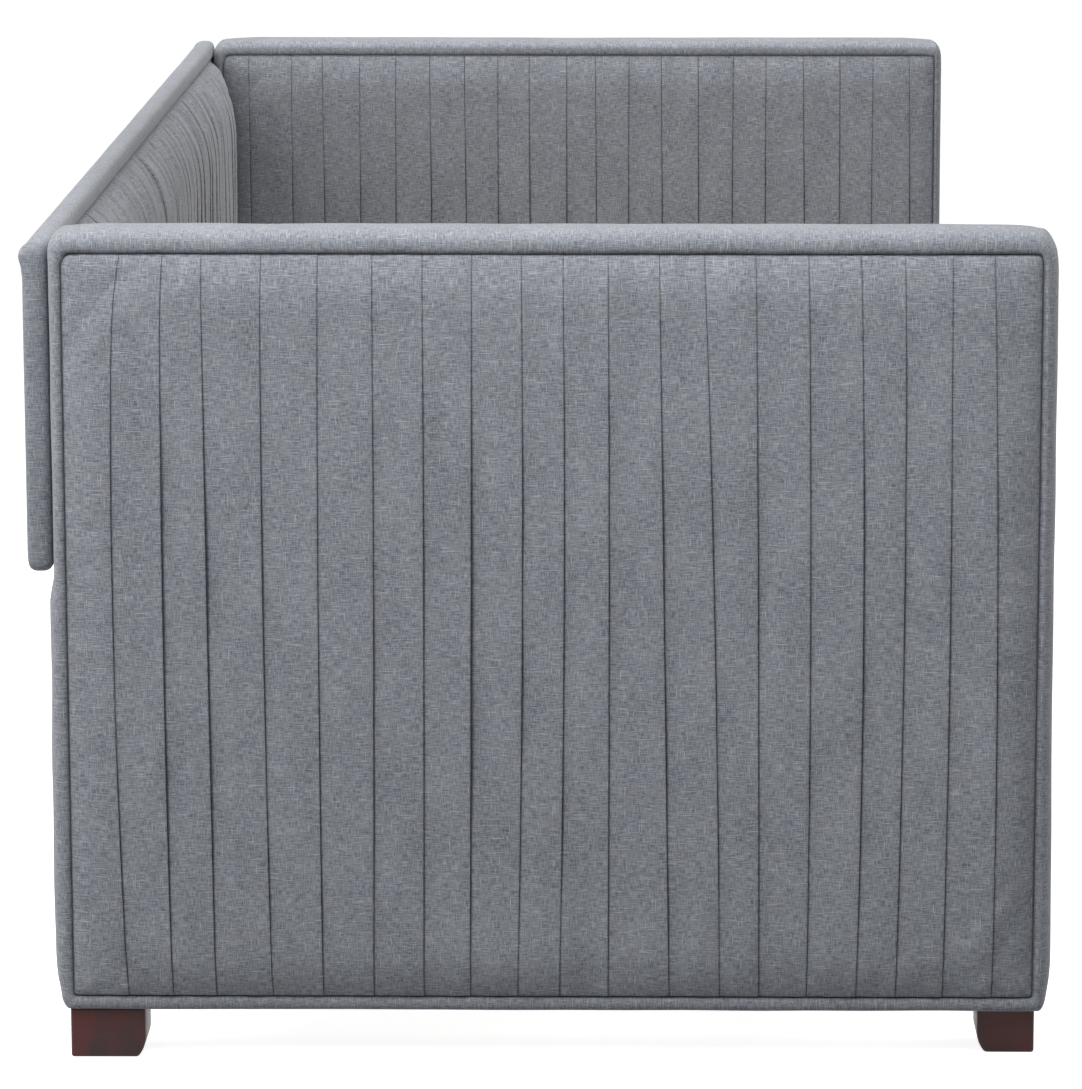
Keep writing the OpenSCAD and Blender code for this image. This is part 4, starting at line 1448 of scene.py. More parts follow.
@dataclass(frozen=True)
class RollSection:
    """Section across the roll of an arm: a full dome whose two edges tuck in to the seams.

    Attributes:
        half_width: Half of the distance between the two seams.
        bulge: How far the dome stands over the seams.
        tuck: How far the fabric is drawn in at the seams.
        shoulder: Height of its widest place, as a share of its reach.
        shade: Strength of the shade painted into its seams.
        dip: How far the tucked edge lies below the seam.
        backing: How far the section's hidden rear lies below the tucked edge.
    """

    half_width: float
    bulge: float = 2.2 * MM
    tuck: float = 4.0 * MM
    shoulder: float = 0.26
    shade: float = 1.0
    dip: float = 0.5 * MM
    backing: float = 1.0 * MM

    def points(self, reach: np.ndarray, fullness: np.ndarray) -> tuple[np.ndarray, np.ndarray, np.ndarray]:
        """The section at each station, closed behind the dome.

        Args:
            reach: Height of the dome at each station.
            fullness: Fullness of the dome at each station.

        Returns:
            Places across, heights and painted crease shade, stations by points, with the first point
            repeated.
        """
        rows = (len(reach), 1)
        widest = self.half_width + self.bulge
        tuck, dome = np.radians(TUCK_TURNS), np.linspace(0.0, math.pi, DOME_POINTS)
        power = 2.0 / fullness[:, None]
        tuck_across = np.tile(widest - (self.bulge + self.tuck) * (1 - np.cos(tuck)), rows)
        dome_across = widest * np.sign(np.cos(dome)) * np.abs(np.cos(dome)) ** power
        behind = np.tile([-1.0, 1.0], rows) * (self.half_width - 2 * self.tuck)
        across = np.hstack([tuck_across, dome_across, -tuck_across[:, ::-1], behind, tuck_across[:, :1]])
        low = self.shoulder * reach[:, None]
        tuck_out = low - (low + self.dip) * np.sin(tuck)
        dome_out = low + (reach[:, None] - low) * np.abs(np.sin(dome)) ** power
        back = np.full((len(reach), 2), -self.dip - self.backing)
        out = np.hstack([tuck_out, dome_out, tuck_out[:, ::-1], back, tuck_out[:, :1]])
        # Painted shade: the tucks darken towards the seam, and the hidden rear behind the dome is painted in
        # full shade.
        groove = np.array(TUCK_SHADES) * self.shade
        crease_shade = np.concatenate([groove, np.zeros(DOME_POINTS), groove[::-1], [1.0, 1.0, self.shade]])
        return across, out, np.broadcast_to(crease_shade, across.shape)


def ring_mesh(points: np.ndarray, cloth: np.ndarray, crease_shade: np.ndarray) -> bmesh.types.BMesh:
    """A closed ring of cloth, whose first and last rows and columns meet.

    Args:
        points: Places, stations by points by 3.
        cloth: Places on the flat cloth, stations by points by 2.
        crease_shade: Painted crease shade, stations by points.

    Returns:
        The closed ring.
    """
    bm = cloth_sheet(points, cloth, crease_shade)
    bmesh.ops.remove_doubles(bm, verts=bm.verts, dist=CLOTH_WELD)
    bmesh.ops.recalc_face_normals(bm, faces=bm.faces)
    return bm


def map_cloth(piece: bpy.types.Object) -> None:
    """Lays a piece's own map of its cloth flat on each of its faces.

    Args:
        piece: The piece.
    """
    mesh = piece.data
    layer = mesh.uv_layers.new(name="weave")
    for face in mesh.polygons:
        axis = max(range(3), key=lambda i: abs(face.normal[i]))
        first, second = [i for i in range(3) if i != axis]
        for loop in face.loop_indices:
            place = mesh.vertices[mesh.loops[loop].vertex_index].co
            layer.data[loop].uv = (place[first], place[second])


def dress(node: str, material: bpy.types.Material) -> None:
    """Gives a CAD node that stays as it is its finish.

    Args:
        node: The node.
        material: The finish.
    """
    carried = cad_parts[node]
    if not carried.material_slots:
        carried.data.materials.append(material)
    for slot in carried.material_slots:
        slot.material = material
    LOG.info("%s: carried over in %s", node, material.name)


# ---- The end arms ----

# The pleats of two faces, from the rear seam to the front seam, in millimetres. The upholsterer folds
# them without a jig, so no two are alike.
LEFT_OUTER = PleatRow(
    widths=(55, 50, 44, 62, 60, 57, 53, 52, 52, 44, 48, 55, 48, 53, 55, 55, 46, 49, 46, 52),
    leans=(5, 3, 6, 5, -1, -4, -3, -5, -6, -5, 0, 12, 19, 7, 3, 1, -3, -1, 7),
    bows=(-7, -3, -1, -3, -2, 1, 1, 0, 3, 3, 1, 0, 3, 1, 3, 5, 4, 3, 4),
    seed=11,
    hooks=(8, 3, 0, 1, 0, 0, 0, 0, 0, 0, 0, 0, 0, 0, 0, 0, 0, 2, 0),
    gapes=(1, 2.4, 2.2, 1, 1, 1, 1.2, 2.6, 1.2, 1, 1, 1.5, 1, 1, 1, 1.6, 1, 1, 1),
)
RIGHT_INNER = PleatRow(
    widths=(37, 63, 44, 54, 53, 49, 51, 49, 45, 54, 42, 49, 47, 53, 51, 48, 54, 53, 48, 53, 38),
    leans=(2, 4, 1, -3, -2, 0, 3, 5, 2, -4, -2, 1, 3, -1, -3, 2, 4, 0, -2, 3),
    bows=(1, -2, 2, 1, -1, 2, 1, -2, 0, 1, 2, -1, 1, 2, 0, -1, 2, 1, 0, 2),
    seed=12,
)


# The rear of an arm's roll is free from HELD_GAP below the back. It swells to FREED_SHARE of its full
# swell over FREED_RUN, and to all of it at FULL_DROP. The front swells less, from FRONT_TOP down.
HELD_GAP, FREED_RUN, FREED_SHARE, FULL_DROP = 4.0 * MM, 30.0 * MM, 0.78, 400.0 * MM
FRONT_TOP, FRONT_RUN, FRONT_SHARE = 450.0 * MM, 350.0 * MM, 0.45


@dataclass
class UpholsteredArm:
    """One end arm: two pleated faces and the padded roll between them.

    Attributes:
        side: "left" or "right".
        outer: The pleats of its outer face.
        inner: The pleats of its inner face.
        palette: The materials.
        cover: The simulated cover that both faces follow.
        crown: Rise of each face above its seams.
        run: Distance over which a face rises.
        corners: Corners of its seams, with the first direction from the front to the rear.
        rises: How far the upper seam lies above the board's edge, on the outer and the inner face.
        reaches: How far the front seam lies before the board's edge, on the outer and the inner face.
        seam_depths: How far the fabric is drawn in at the seams, which also sets how dark the shade painted
            there is, on the outer and the inner face.
        pressed: Height that the rails hold the inner face down to.
        low_corner: Both lower corners of its roll.
        rear_corner: The upper rear corner of its roll.
        front_corner: The upper front corner of its roll.
        droop: How far the top of its roll falls towards its ends.
        swell: How far the roll swells to the rear below the back, which holds it flat above.
        sag: How far the wadding hangs below the arm's frame.
    """

    side: str
    outer: PleatRow
    inner: PleatRow
    palette: Palette
    cover: SewnCover
    crown: float = 13.0 * MM
    run: float = 60.0 * MM
    corners: SeamCorners = SeamCorners(3.0 * MM, 3.0 * MM, 13.0 * MM, 6.0 * MM)
    rises: tuple[float, float] = (2.0 * MM, 5.5 * MM)
    reaches: tuple[float, float] = (0.0, 7.0 * MM)
    seam_depths: tuple[float, float] = (4.0 * MM, 2.4 * MM)
    pressed: float = -6.9 * MM
    low_corner: Corner = Corner(12.0 * MM, 58.0 * MM, 1.9)
    rear_corner: Corner = Corner(15.0 * MM, 26.0 * MM)
    front_corner: Corner = Corner(18.0 * MM, 32.0 * MM)
    droop: float = 5.0 * MM
    swell: float = 6.5 * MM
    sag: float = 4.5 * MM

    def __post_init__(self) -> None:
        """Reads the arm's sizes from the frame."""
        self.way = -1.0 if self.side == "left" else 1.0
        low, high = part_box(f"{self.side}_arm_border")
        self.low, self.high = Vector(low), Vector(high)
        pad_low, pad_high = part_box(f"{self.side}_arm_outer_pad")
        self.seam_low, self.seam_high = Vector(pad_low), Vector(pad_high)
        self.centre = (low[0] + high[0]) / 2
        self.half_width = (high[0] - low[0]) / 2

    def build(self) -> None:
        """Builds and dresses the whole arm."""
        self.face("outer", self.outer, 1.0)
        self.face("inner", self.inner, -1.0)
        self.roll()
        dress(f"{self.side}_arm_frame", self.palette.pine[Grain.Z])
        for board in ("outer_board", "inner_board"):
            dress(f"{self.side}_arm_{board}", self.palette.ply[Grain.Z])
        dress(f"{self.side}_arm_dust_cover", self.palette.cambric)
        dress(f"{self.side}_arm_inserts", self.palette.zinc)

    def face(self, name: str, row: PleatRow, outwards: float) -> None:
        """Builds one pleated face.

        Args:
            name: "outer" or "inner".
            row: Its pleats.
            outwards: 1 for the face that looks away from the bed, -1 for the other.
        """
        rear = self.seam_high.y
        inner = int(outwards < 0)
        pad = PleatedPad(
            row=row,
            cover=self.cover,
            length=rear - self.seam_low.y + self.reaches[inner],
            low=self.seam_low.z,
            high=self.seam_high.z + self.rises[inner],
            crown=self.crown,
            side_run=self.run,
            top_run=self.run,
            corners=self.corners.turned(),
            presses=self.rail_presses() if inner else (),
            seam_depth=self.seam_depths[inner],
        )
        facing = self.way * outwards
        seam = self.centre + facing * self.half_width
        node = f"{self.side}_arm_{name}_pad"
        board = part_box(node)[0 if facing > 0 else 1][0]

        def lay(across: np.ndarray, up: np.ndarray, height: np.ndarray) -> np.ndarray:
            """Places the fabric on this face."""
            return np.stack([seam + facing * height, rear - across, up], axis=-1)

        bm = pad.sheet(lay)
        close_pad(bm, 0, board)
        piece = placed(bm, f"{self.side}_arm_{name}_cover", self.palette.linen)
        joined(piece, "upholstery_fabric", node)

    def rail_presses(self) -> tuple[Press, ...]:
        """Where the rails bear on the inner face.

        Returns:
            One press for each rail.
        """
        rear = self.seam_high.y
        boxes = [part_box(node) for node in ("front_rail_cover", "rear_rail_cover", "centre_rail")]
        return tuple(Press(rear - b[1], rear - a[1], a[2], b[2], self.pressed) for a, b in boxes)

    def roll(self) -> None:
        """Builds the padded roll round the arm."""
        outline = Outline(
            (self.low.y, self.low.z - self.sag),
            (self.high.y, self.high.z),
            (self.low_corner, self.low_corner, self.rear_corner, self.front_corner),
            self.droop,
        )
        roll = Roll(
            (self.seam_low.y, self.seam_low.z),
            (self.seam_high.y, self.seam_high.z),
            corners=self.corners,
            outline=outline,
            fullness=(3.6, 2.1, 3.0),
            seed=31 if self.side == "left" else 32,
        )
        plane, across, cloth, crease_shade = roll.ring(RollSection(self.half_width))
        self.settle(plane, across)
        points = np.stack([self.centre + self.way * across, plane[..., 0], plane[..., 1]], axis=-1)
        bm = ring_mesh(points, cloth, crease_shade)
        piece = placed(bm, f"{self.side}_arm_roll", self.palette.linen)
        joined(piece, "upholstery_fabric", f"{self.side}_arm_border")

    def settle(self, plane: np.ndarray, across: np.ndarray) -> None:
        """Moves the roll's points to its two seams, and swells it where nothing holds it.

        Args:
            plane: Places along Y and Z, which are changed.
            across: Places from the inner to the outer face.
        """
        y, z = plane[..., 0].copy(), plane[..., 1].copy()
        outer = np.clip((across / self.half_width + 1.0) / 2.0, 0.0, 1.0)
        rise, reach = (both[1] + (both[0] - both[1]) * outer for both in (self.rises, self.reaches))
        up = (z - self.seam_high.z) / (self.high.z - self.seam_high.z)
        front = (self.seam_low.y - y) / (self.seam_low.y - self.low.y)
        plane[..., 1] += rise * np.where(up > -0.1, 1.0 - np.clip(up, 0.0, 1.0), 0.0)
        plane[..., 0] -= reach * np.where(front > -0.1, 1.0 - np.clip(front, 0.0, 1.0), 0.0)
        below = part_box("back_border")[0][2] - z
        free = smooth_step((below - HELD_GAP) / FREED_RUN)
        free = free * (FREED_SHARE + (1.0 - FREED_SHARE) * smooth_step(below / FULL_DROP))
        rear = np.clip((y - self.seam_high.y) / (self.high.y - self.seam_high.y), 0.0, 1.0)
        plane[..., 0] += self.swell * free * rear
        low_front = smooth_step((FRONT_TOP - z) / FRONT_RUN) * np.clip(front, 0.0, 1.0)
        plane[..., 0] -= FRONT_SHARE * self.swell * low_front


# ---- The back ----


# Unevenness of the plain fabric on the back's rear.
SLACK_WAVES = Unevenness(0, 0.30, 0.10, 0.7 * MM)
SLACK_RIPPLES = Unevenness(1, 0.07, 0.07, 0.3 * MM)


@dataclass
class Back:
    """The upholstered back: its pleated front, the band round its edges and its plain rear.

    Attributes:
        palette: The materials.
        row: The pleats, from the right end to the left end.
        inset: Distance from the band's edge to its seam.
        slack: How far the pleated pad stays inside its CAD solid.
        sag: How far the wadding of the band hangs below its board.
        hang: How much higher its top is drawn at the right end than at the left.
        hang_from: Height above which it is drawn up.
        hang_run: Height over which that begins.
        set_back: How far the front's seam lies behind the band's edge.
        held: Height that the arms hold the ends of the pad to.
        held_gap: How far from an arm the pad is free.
        held_run: Distance over which it rises from there.
        ear: How far each upper corner stands out to the rear.
        ear_drop: How far the middle of that lies below the top.
        ear_spread: Height of that.
        cell: Distance between two rows of points on the rear.
        loose_half: Half of the length over which the rear's fabric is loose.
        corners: Corners of its front seam.
    """

    palette: Palette
    row: PleatRow
    inset: float = 19.0 * MM
    slack: float = 7.0 * MM
    sag: float = 3.5 * MM
    hang: float = 12.0 * MM
    hang_from: float = 838.0 * MM
    hang_run: float = 45.0 * MM
    set_back: float = 1.5 * MM
    held: float = -1.2 * MM
    held_gap: float = 4.0 * MM
    held_run: float = 12.0 * MM
    ear: float = 4.0 * MM
    ear_drop: float = 14.0 * MM
    ear_spread: float = 11.0 * MM
    cell: float = 40.0 * MM
    loose_half: float = 950.0 * MM
    corners: SeamCorners = SeamCorners.even(6.0 * MM)

    def __post_init__(self) -> None:
        """Reads the back's sizes from the frame."""
        self.low, self.high = (Vector(c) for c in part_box("back_border"))
        self.pad_low, self.pad_high = (Vector(c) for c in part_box("back_pad"))
        self.arm_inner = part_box("right_arm_inner_pad")[0][0]
        self.seam_low = Vector((self.low.x + self.inset, self.low.z + self.inset))
        self.seam_high = Vector((self.high.x - self.inset, self.high.z - self.inset))

    def build(self) -> None:
        """Builds and dresses the whole back."""
        self.front()
        self.band()
        self.rear()
        dress("back_frame", self.palette.pine[Grain.X])
        dress("back_board", self.palette.ply[Grain.X])

    def hung(self, x: np.ndarray, z: np.ndarray) -> np.ndarray:
        """Draws the top of the back up towards its right end.

        Args:
            x: Places along the back.
            z: Heights before.

        Returns:
            Heights after.
        """
        share = (x - self.low.x) / (self.high.x - self.low.x)
        return z + self.hang * share * smooth_step((z - self.hang_from) / self.hang_run)

    def front(self) -> None:
        """Builds the pleated front."""
        half = self.seam_high.x
        flat = half - self.arm_inner
        behind_arm = flat - self.held_gap
        pad = PleatedPad(
            row=self.row,
            cover=SewnCover(2 * (half - flat), self.seam_high.y - self.seam_low.y),
            length=2 * half,
            low=self.seam_low.y,
            high=self.seam_high.y,
            crown=self.low.y - self.pad_low.y - self.slack,
            side_run=75.0 * MM,
            top_run=130.0 * MM,
            fullness=0.6,
            top_fullness=0.75,
            seam_depth=1.8 * MM,
            flat_ends=flat,
            corners=self.corners,
            presses=(
                Press(-EVERYWHERE, behind_arm, -EVERYWHERE, EVERYWHERE, self.held, self.held_run),
                Press(2 * half - behind_arm, EVERYWHERE, -EVERYWHERE, EVERYWHERE, self.held, self.held_run),
            ),
        )
        seam = self.low.y + self.set_back

        def lay(across: np.ndarray, up: np.ndarray, rise: np.ndarray) -> np.ndarray:
            """Places the fabric on the front."""
            x = half - across
            return np.stack([x, seam - rise, self.hung(x, up)], axis=-1)

        bm = pad.sheet(lay)
        close_pad(bm, 1, self.pad_high.y)
        piece = placed(bm, "back_front_cover", self.palette.linen)
        joined(piece, "upholstery_fabric", "back_pad")

    def band(self) -> None:
        """Builds the band round the back's edges."""
        corners = (Corner(12.0 * MM, 12.0 * MM),) * 4
        roll = Roll(
            tuple(self.seam_low),
            tuple(self.seam_high),
            corners=self.corners,
            outline=Outline((self.low.x, self.low.z - self.sag), (self.high.x, self.high.z), corners),
            fullness=(3.0, 3.4, 2.7),
            seed=41,
        )
        half = (self.high.y - self.low.y) / 2
        # The band's seams get half the painted shade of an arm's.
        section = RollSection(half - 0.6 * MM, bulge=0.4 * MM, tuck=1.6 * MM, shoulder=0.30, shade=0.5)
        plane, across, cloth, crease_shade = roll.ring(section)
        x, z = plane[..., 0], plane[..., 1]
        high_up = np.exp(-(((z - self.high.z + self.ear_drop) / self.ear_spread) ** 2))
        at_end = smooth_step((np.abs(x) - self.high.x + 30.0 * MM) / (20.0 * MM))
        behind = smooth_step(-across / half)
        y = self.low.y + half - across + self.ear * high_up * at_end * behind
        points = np.stack([x, y, self.hung(x, z)], axis=-1)
        piece = placed(ring_mesh(points, cloth, crease_shade), "back_band", self.palette.linen)
        joined(piece, "upholstery_fabric", "back_border")

    def rear(self) -> None:
        """Dresses the plain fabric over the rear, with its holes for the bolts."""
        piece = eased_copy("back_rear_cover", self.palette.linen, "upholstery_fabric", 0.8 * MM)
        bm = bmesh.new()
        bm.from_mesh(piece.data)
        for axis in (0, 2):
            for place in spaced(self.low[axis], self.high[axis], self.cell)[1:-1]:
                where, way = Vector(), Vector()
                where[axis], way[axis] = place, 1.0
                everything = bm.verts[:] + bm.edges[:] + bm.faces[:]
                bmesh.ops.bisect_plane(bm, geom=everything, plane_co=where, plane_no=way)
        x, y, z = np.array([v.co for v in bm.verts]).T
        edge = np.minimum(np.minimum(z - self.low.z, self.high.z - z), self.loose_half - np.abs(x))
        loose = smooth_step((edge - 20.0 * MM) / (60.0 * MM)) * (y > y.max() - 0.2 * MM)
        y += (SLACK_WAVES.on(51, x, z) + SLACK_RIPPLES.on(51, x, z)) * loose
        for vert, place in zip(bm.verts, zip(x, y, self.hung(x, z))):
            vert.co = place
        bm.to_mesh(piece.data)
        map_cloth(piece)


# ---- The base ----


# Unevenness of the fabric that is pulled round a rail.
PULLED = Unevenness(0, 0.05, 0.12, 0.2 * MM)


@dataclass
class RailSleeve:
    """A rail's fabric sleeve, drawn tight over its board.

    Attributes:
        side: "front" or "rear".
        palette: The materials.
        edge: Radius of its four long edges.
        hollow: How far its two sides bow in between the edges.
        clearance: How far its sides lie inside the CAD sleeve.
    """

    side: str
    palette: Palette
    edge: float = 6.0 * MM
    hollow: float = 0.8 * MM
    clearance: float = 0.2 * MM

    def build(self) -> None:
        """Builds the sleeve and dresses what it holds."""
        node = f"{self.side}_rail_cover"
        low, high = (Vector(c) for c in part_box(node))
        rail = spaced(low.x, high.x, 16 * MM)
        section = self.section(low, high)
        shape = (len(rail), len(section))
        x = np.broadcast_to(rail[:, None], shape)
        y, z = (np.broadcast_to(section[:, i], shape) for i in (0, 1))
        middle_y, middle_z = (low.y + high.y) / 2, (low.z + high.z) / 2
        outer = np.clip(np.abs(z - middle_z) / (high.z - middle_z), 0.0, 1.0)
        inwards = self.hollow * (1.0 - outer**2) + self.clearance - PULLED.on(61, x, z)
        points = np.stack([x, y - np.sign(y - middle_y) * inwards, z], axis=-1)
        cloth = np.stack([x, np.broadcast_to(length_along(section), shape)], axis=-1)
        bm = cloth_sheet(points, cloth, np.zeros(shape))
        bmesh.ops.remove_doubles(bm, verts=bm.verts, dist=CLOTH_WELD)
        for end in (low.x, high.x):
            rim = [e for e in bm.edges if e.is_boundary and abs(e.verts[0].co.x - end) < MM]
            bmesh.ops.edgeloop_fill(bm, edges=rim)
        bmesh.ops.recalc_face_normals(bm, faces=bm.faces)
        piece = placed(bm, f"{self.side}_rail_sleeve", self.palette.linen, sharp=60.0)
        joined(piece, "upholstery_fabric", node)
        dress(f"{self.side}_rail_board", self.palette.pine[Grain.X])
        eased_copy(f"{self.side}_ledger", self.palette.pine[Grain.X], "pine", 1.5 * MM)

    def section(self, low: Vector, high: Vector) -> np.ndarray:
        """The sleeve's section, a rectangle with rounded corners, as places in Y and Z.

        Args:
            low: Lowest corner of the sleeve.
            high: Highest corner of the sleeve.

        Returns:
            The section's points, with the first repeated at the end.
        """
        corners = (
            (high.y - self.edge, high.z - self.edge, 0.0),
            (low.y + self.edge, high.z - self.edge, 90.0),
            (low.y + self.edge, low.z + self.edge, 180.0),
            (high.y - self.edge, low.z + self.edge, 270.0),
        )
        points = []
        for (y, z, angle), (_, next_z, _) in zip(corners, corners[1:] + corners[:1]):
            for turn in np.radians(np.linspace(angle, angle + 90.0, 6)):
                points.append((y + self.edge * math.cos(turn), z + self.edge * math.sin(turn)))
            if next_z != z:
                end_y, end_z = points[-1]
                points += [(end_y, level) for level in np.linspace(end_z, next_z, 12)[1:-1]]
        return np.array(points + points[:1])


@dataclass
class SlatDeck:
    """The slats that carry the mattress, their straps and the timber under them."""

    palette: Palette
    slats: int = 12

    def build(self) -> None:
        """Builds and dresses the deck."""
        for number in range(1, self.slats + 1):
            eased_copy(f"slat_{number}", self.palette.slats, "slat_wood", 2.0 * MM)
        eased_copy("slat_straps", self.palette.tape, "strap_webbing", 0.3 * MM, 2)
        eased_copy("centre_rail", self.palette.pine[Grain.X], "pine", 1.5 * MM)
        for side in ("left", "right"):
            eased_copy(f"{side}_centre_leg", self.palette.pine[Grain.Z], "pine", 1.5 * MM)
        eased_copy("centre_leg_glides", self.palette.nylon, "nylon", 1.2 * MM)


@dataclass
class Feet:
    """The four stained block feet."""

    palette: Palette
    ease: float = 3.0 * MM

    def build(self) -> None:
        """Builds and dresses the feet."""
        for place in ("front_left", "front_right", "rear_left", "rear_right"):
            eased_copy(f"{place}_foot", self.palette.stain, "espresso_wood", self.ease, clamp=False)


class Drive(Enum):
    """The recess in a screw's or bolt's head."""

    HEXAGON = 0
    CROSS = 1


# The recess in a head, and the rounding of its rim, as shares of the head's diameter. The taper is the
# share by which the recess's floor is narrower than its mouth.
HEXAGON_FLAT, SLOT_HALF, CROSS_REACH = 0.26, 0.075, 0.30
RIM_EASE, RECESS_INSET, RECESS_TAPER = 0.05, 0.1, 0.12

# What tells the flat end of a head from the other faces: its number of points, how square it is to the
# axis, its longest edge and its width as shares of the diameter, and the share of a circle it fills.
CAP_POINTS, CAP_SQUARE, CAP_EDGE, CAP_WIDTHS, CAP_AREA = 12, 0.99, 0.4, (0.86, 1.03), 0.72


@dataclass(frozen=True)
class Fastener:
    """One set of bolts or screws, with the drive recess in their heads.

    Attributes:
        node: The CAD node.
        drive: Shape of the recess.
        head: Diameter of the head.
        axis: The axis that the heads face along.
        depth: Depth of the recess.
    """

    node: str
    drive: Drive
    head: float
    axis: int
    depth: float

    def edge(self, angle: float) -> float:
        """Distance from the head's middle to the recess's edge.

        Args:
            angle: The direction.

        Returns:
            The distance.
        """
        if self.drive is Drive.HEXAGON:
            return HEXAGON_FLAT * self.head / math.cos((angle % (math.tau / 6)) - math.tau / 12)
        nearest = abs((angle + math.tau / 8) % (math.tau / 4) - math.tau / 8)
        return self.head * min(CROSS_REACH, SLOT_HALF / max(math.sin(nearest), 1e-6))

    def build(self, material: bpy.types.Material) -> None:
        """Copies the CAD set, rounds its rims and sinks the recesses.

        Args:
            material: Their finish.
        """
        bm = merged_copy(self.node)
        rims = [e for e in bm.edges if any(self.is_cap(f) for f in e.link_faces)]
        round_edges(bm, rims, RIM_EASE * self.head, 3)
        caps = [f for f in bm.faces if self.is_cap(f)]
        bmesh.ops.inset_individual(bm, faces=caps, thickness=RECESS_INSET * self.head)
        for cap in caps:
            self.shape(cap)
        for face in bmesh.ops.extrude_discrete_faces(bm, faces=caps)["faces"]:
            inwards = -face.normal * self.depth
            centre = face.calc_center_median()
            for vert in face.verts:
                vert.co += inwards + (centre - vert.co) * RECESS_TAPER
        bmesh.ops.recalc_face_normals(bm, faces=bm.faces)
        joined(placed(bm, f"{self.node}_driven", material, sharp=35.0), "zinc_steel", self.node)

    def is_cap(self, face: bmesh.types.BMFace) -> bool:
        """Whether a face is the flat end of a head.

        Args:
            face: The face.

        Returns:
            True where it is round, whole, square to the axis and as wide as a head.
        """
        if len(face.verts) < CAP_POINTS or abs(face.normal[self.axis]) < CAP_SQUARE:
            return False
        width = max(max(v.co[i] for v in face.verts) - min(v.co[i] for v in face.verts) for i in range(3))
        short = all(e.calc_length() <= CAP_EDGE * self.head for e in face.edges)
        whole = face.calc_area() > CAP_AREA * math.pi / 4 * width**2
        return short and whole and CAP_WIDTHS[0] < width / self.head < CAP_WIDTHS[1]

    def shape(self, face: bmesh.types.BMFace) -> None:
        """Moves a round face's points to the recess's edge.

        Args:
            face: The face.
        """
        centre = face.calc_center_median()
        first, second = [i for i in range(3) if i != self.axis]
        for vert in face.verts:
            away = vert.co - centre
            angle = math.atan2(away[second], away[first])
            reach = self.edge(angle)
            vert.co[first] = centre[first] + reach * math.cos(angle)
            vert.co[second] = centre[second] + reach * math.sin(angle)


@dataclass
class Hardware:
    """Brackets, bolts, screws and washers."""

    palette: Palette
    fasteners: tuple[Fastener, ...] = (
        Fastener("back_bolts", Drive.HEXAGON, 15 * MM, 1, 2.6 * MM),
        Fastener("bracket_bolts", Drive.HEXAGON, 15 * MM, 0, 2.6 * MM),
        Fastener("bracket_screws", Drive.CROSS, 9.5 * MM, 1, 1.4 * MM),
        Fastener("ledger_screws", Drive.CROSS, 9.5 * MM, 1, 1.4 * MM),
        Fastener("slat_screws", Drive.CROSS, 8 * MM, 2, 1.2 * MM),
    )

    def build(self) -> None:
        """Builds and dresses the hardware."""
        for node in ("rail_brackets", "centre_rail_brackets"):
            eased_copy(node, self.palette.powder, "black_steel", 0.5 * MM, 2)
        eased_copy("back_washers", self.palette.zinc, "zinc_steel", 0.25 * MM, 2)
        for fastener in self.fasteners:
            fastener.build(self.palette.zinc)
        for node in ("foot_hanger_bolts", "centre_leg_hanger_bolts"):
            dress(node, self.palette.zinc)


# ---- The studio ----


@dataclass(frozen=True)
class SoftBox:
    """One soft box.

    Attributes:
        name: Its name.
        place: Where it stands.
        aim: The point that it faces.
        size: Its width and height.
        power: Its power in watts.
    """

    name: str
    place: Triple
    aim: Triple
    size: tuple[float, float]
    power: float

    def build(self) -> None:
        """Adds the soft box to the scene."""
        data = bpy.data.lights.new(self.name, "AREA")
        data.shape = "RECTANGLE"
        data.size, data.size_y = self.size
        data.energy = self.power
        lamp = bpy.data.objects.new(self.name, data)
        lamp.location = self.place
        lamp.rotation_euler = (Vector(self.aim) - Vector(self.place)).to_track_quat("-Z", "Y").to_euler()
        bpy.context.scene.collection.objects.link(lamp)


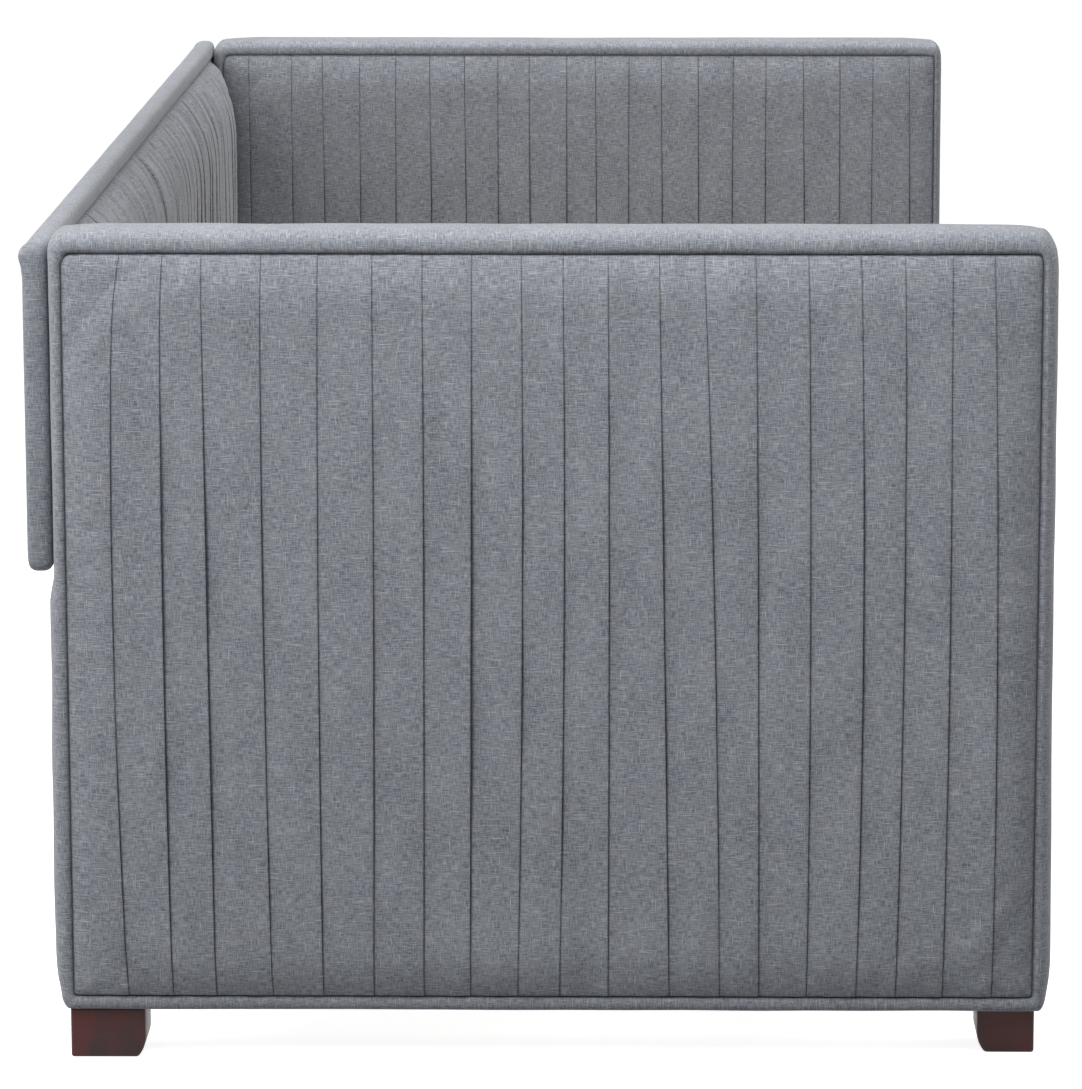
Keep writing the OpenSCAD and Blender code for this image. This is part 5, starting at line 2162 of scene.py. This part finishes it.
@dataclass
class Studio:
    """A pale floor, soft light and the camera.

    Attributes:
        camera_place: Where the camera stands.
        yaw: Its turn to the rear, in degrees.
        pitch: Its tilt down, in degrees.
        lens: Its focal length in millimetres, on a sensor 36 mm wide.
        shift: Shift of its picture, as shares of the width.
        floor_size: Half of the floor's width.
        fill: Strength of the light from all round.
        soft_boxes: The soft boxes.
    """

    camera_place: Triple = (-6.123, -0.104, 1.600)
    yaw: float = 0.51
    pitch: float = 9.98
    lens: float = 160.8
    shift: tuple[float, float] = (-0.05, -0.12)
    floor_size: float = 60.0
    fill: float = 0.05
    soft_boxes: tuple[SoftBox, ...] = (
        SoftBox("above the bed", (-0.6, 0.0, 2.05), (-0.6, 0.0, 0.0), (2.8, 3.4), 13.0),
        SoftBox("above the left end", (-2.3, 0.0, 2.3), (-2.3, 0.0, 0.0), (1.6, 3.0), 54.0),
        SoftBox("above the right end", (1.2, 0.0, 1.9), (1.2, 0.0, 0.0), (0.9, 2.4), 19.0),
        SoftBox("above the back", (-0.8, 2.2, 2.6), (-0.8, 0.3, 0.8), (3.4, 1.6), 52.0),
        SoftBox("behind", (-2.5, 4.5, 2.2), (-0.5, 0.0, 0.5), (2.6, 2.2), 66.0),
        SoftBox("before the right end", (0.2, -3.6, 2.2), (0.6, 0.2, 0.6), (2.4, 1.8), 24.0),
        SoftBox("above the front", (-0.8, -1.6, 2.3), (-0.8, -0.4, 0.5), (3.4, 1.4), 5.0),
    )

    def build(self) -> None:
        """Builds the whole studio."""
        self.camera()
        self.floor()
        self.sky()
        for soft_box in self.soft_boxes:
            soft_box.build()

    def camera(self) -> None:
        """Places the camera beyond the left arm, a little above it."""
        data = bpy.data.cameras.new("camera")
        data.lens = self.lens
        data.sensor_width = 36.0
        data.shift_x, data.shift_y = self.shift
        data.clip_end = 200.0
        camera = bpy.data.objects.new("camera", data)
        yaw, pitch = math.radians(self.yaw), math.radians(self.pitch)
        look = Vector((math.cos(pitch) * math.cos(yaw), math.cos(pitch) * math.sin(yaw), -math.sin(pitch)))
        camera.location = self.camera_place
        camera.rotation_euler = look.to_track_quat("-Z", "Y").to_euler()
        bpy.context.scene.collection.objects.link(camera)
        bpy.context.scene.camera = camera

    def floor(self) -> None:
        """Adds the floor, which is white to the eye and keeps the daybed's shadow."""
        bm = bmesh.new()
        bmesh.ops.create_grid(bm, x_segments=1, y_segments=1, size=self.floor_size)
        bench = NodeBench.material("studio floor")
        rays = bench.node("ShaderNodeLightPath").outputs
        seen = Signal(bench, rays["Is Camera Ray"])
        for name in ("Is Glossy Ray", "Is Transmission Ray"):
            seen = seen.greatest(Signal(bench, rays[name]))
        matt = bench.node("ShaderNodeBsdfDiffuse", {}, {"Color": (0.36, 0.36, 0.36, 1.0)})
        pale = bench.node("ShaderNodeBsdfDiffuse", {}, {"Color": (0.8, 0.8, 0.8, 1.0)})
        place = bench.coordinates("Object", (1.0, 1.0, 0.0))
        away = bench.node("ShaderNodeVectorMath", {"operation": "LENGTH"}, {0: place}).outputs["Value"]
        strength = bench.remap(away, 1.6, 4.5, 0.86, 1.0)
        glow = bench.node("ShaderNodeEmission", {}, {"Color": WHITE, "Strength": strength})
        bright = bench.node("ShaderNodeAddShader", {}, {0: pale.outputs[0], 1: glow.outputs[0]})
        mixed = bench.node("ShaderNodeMixShader", {}, {0: seen, 1: matt.outputs[0], 2: bright.outputs[0]})
        bench.node("ShaderNodeOutputMaterial", {}, {"Surface": mixed.outputs[0]})
        placed(bm, "floor", bench.owner)

    def sky(self) -> None:
        """Makes the world plain white to the eye, and a soft grey as a light."""
        world = bpy.data.worlds.new("studio")
        bench = NodeBench(world)
        seen = bench.node("ShaderNodeLightPath").outputs["Is Camera Ray"]
        fill = bench.node("ShaderNodeBackground", {}, {"Strength": self.fill})
        white = bench.node("ShaderNodeBackground", {}, {"Color": WHITE})
        mixed = bench.node("ShaderNodeMixShader", {}, {0: seen, 1: fill.outputs[0], 2: white.outputs[0]})
        bench.node("ShaderNodeOutputWorld", {}, {"Surface": mixed.outputs[0]})
        bpy.context.scene.world = world


def main() -> None:
    """Builds the daybed and its studio."""
    logging.basicConfig(level=logging.INFO, format="%(message)s")
    bpy.context.scene.view_settings.view_transform = "Standard"
    Studio().build()
    palette = Palette()
    low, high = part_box("left_arm_outer_pad")
    cover = SewnCover(high[1] - low[1], high[2] - low[2])
    left_rows, right_rows = (LEFT_OUTER, PleatRow.uneven(20, 21)), (PleatRow.uneven(20, 22), RIGHT_INNER)
    UpholsteredArm("left", *left_rows, palette, cover, front_corner=Corner(32.0 * MM, 36.0 * MM)).build()
    UpholsteredArm("right", *right_rows, palette, cover).build()
    Back(palette, PleatRow.uneven(40, 23, fading=130.0)).build()
    for side in ("front", "rear"):
        RailSleeve(side, palette).build()
    SlatDeck(palette).build()
    Feet(palette).build()
    Hardware(palette).build()
    bpy.context.view_layer.update()


if __name__ == "__main__":
    main()
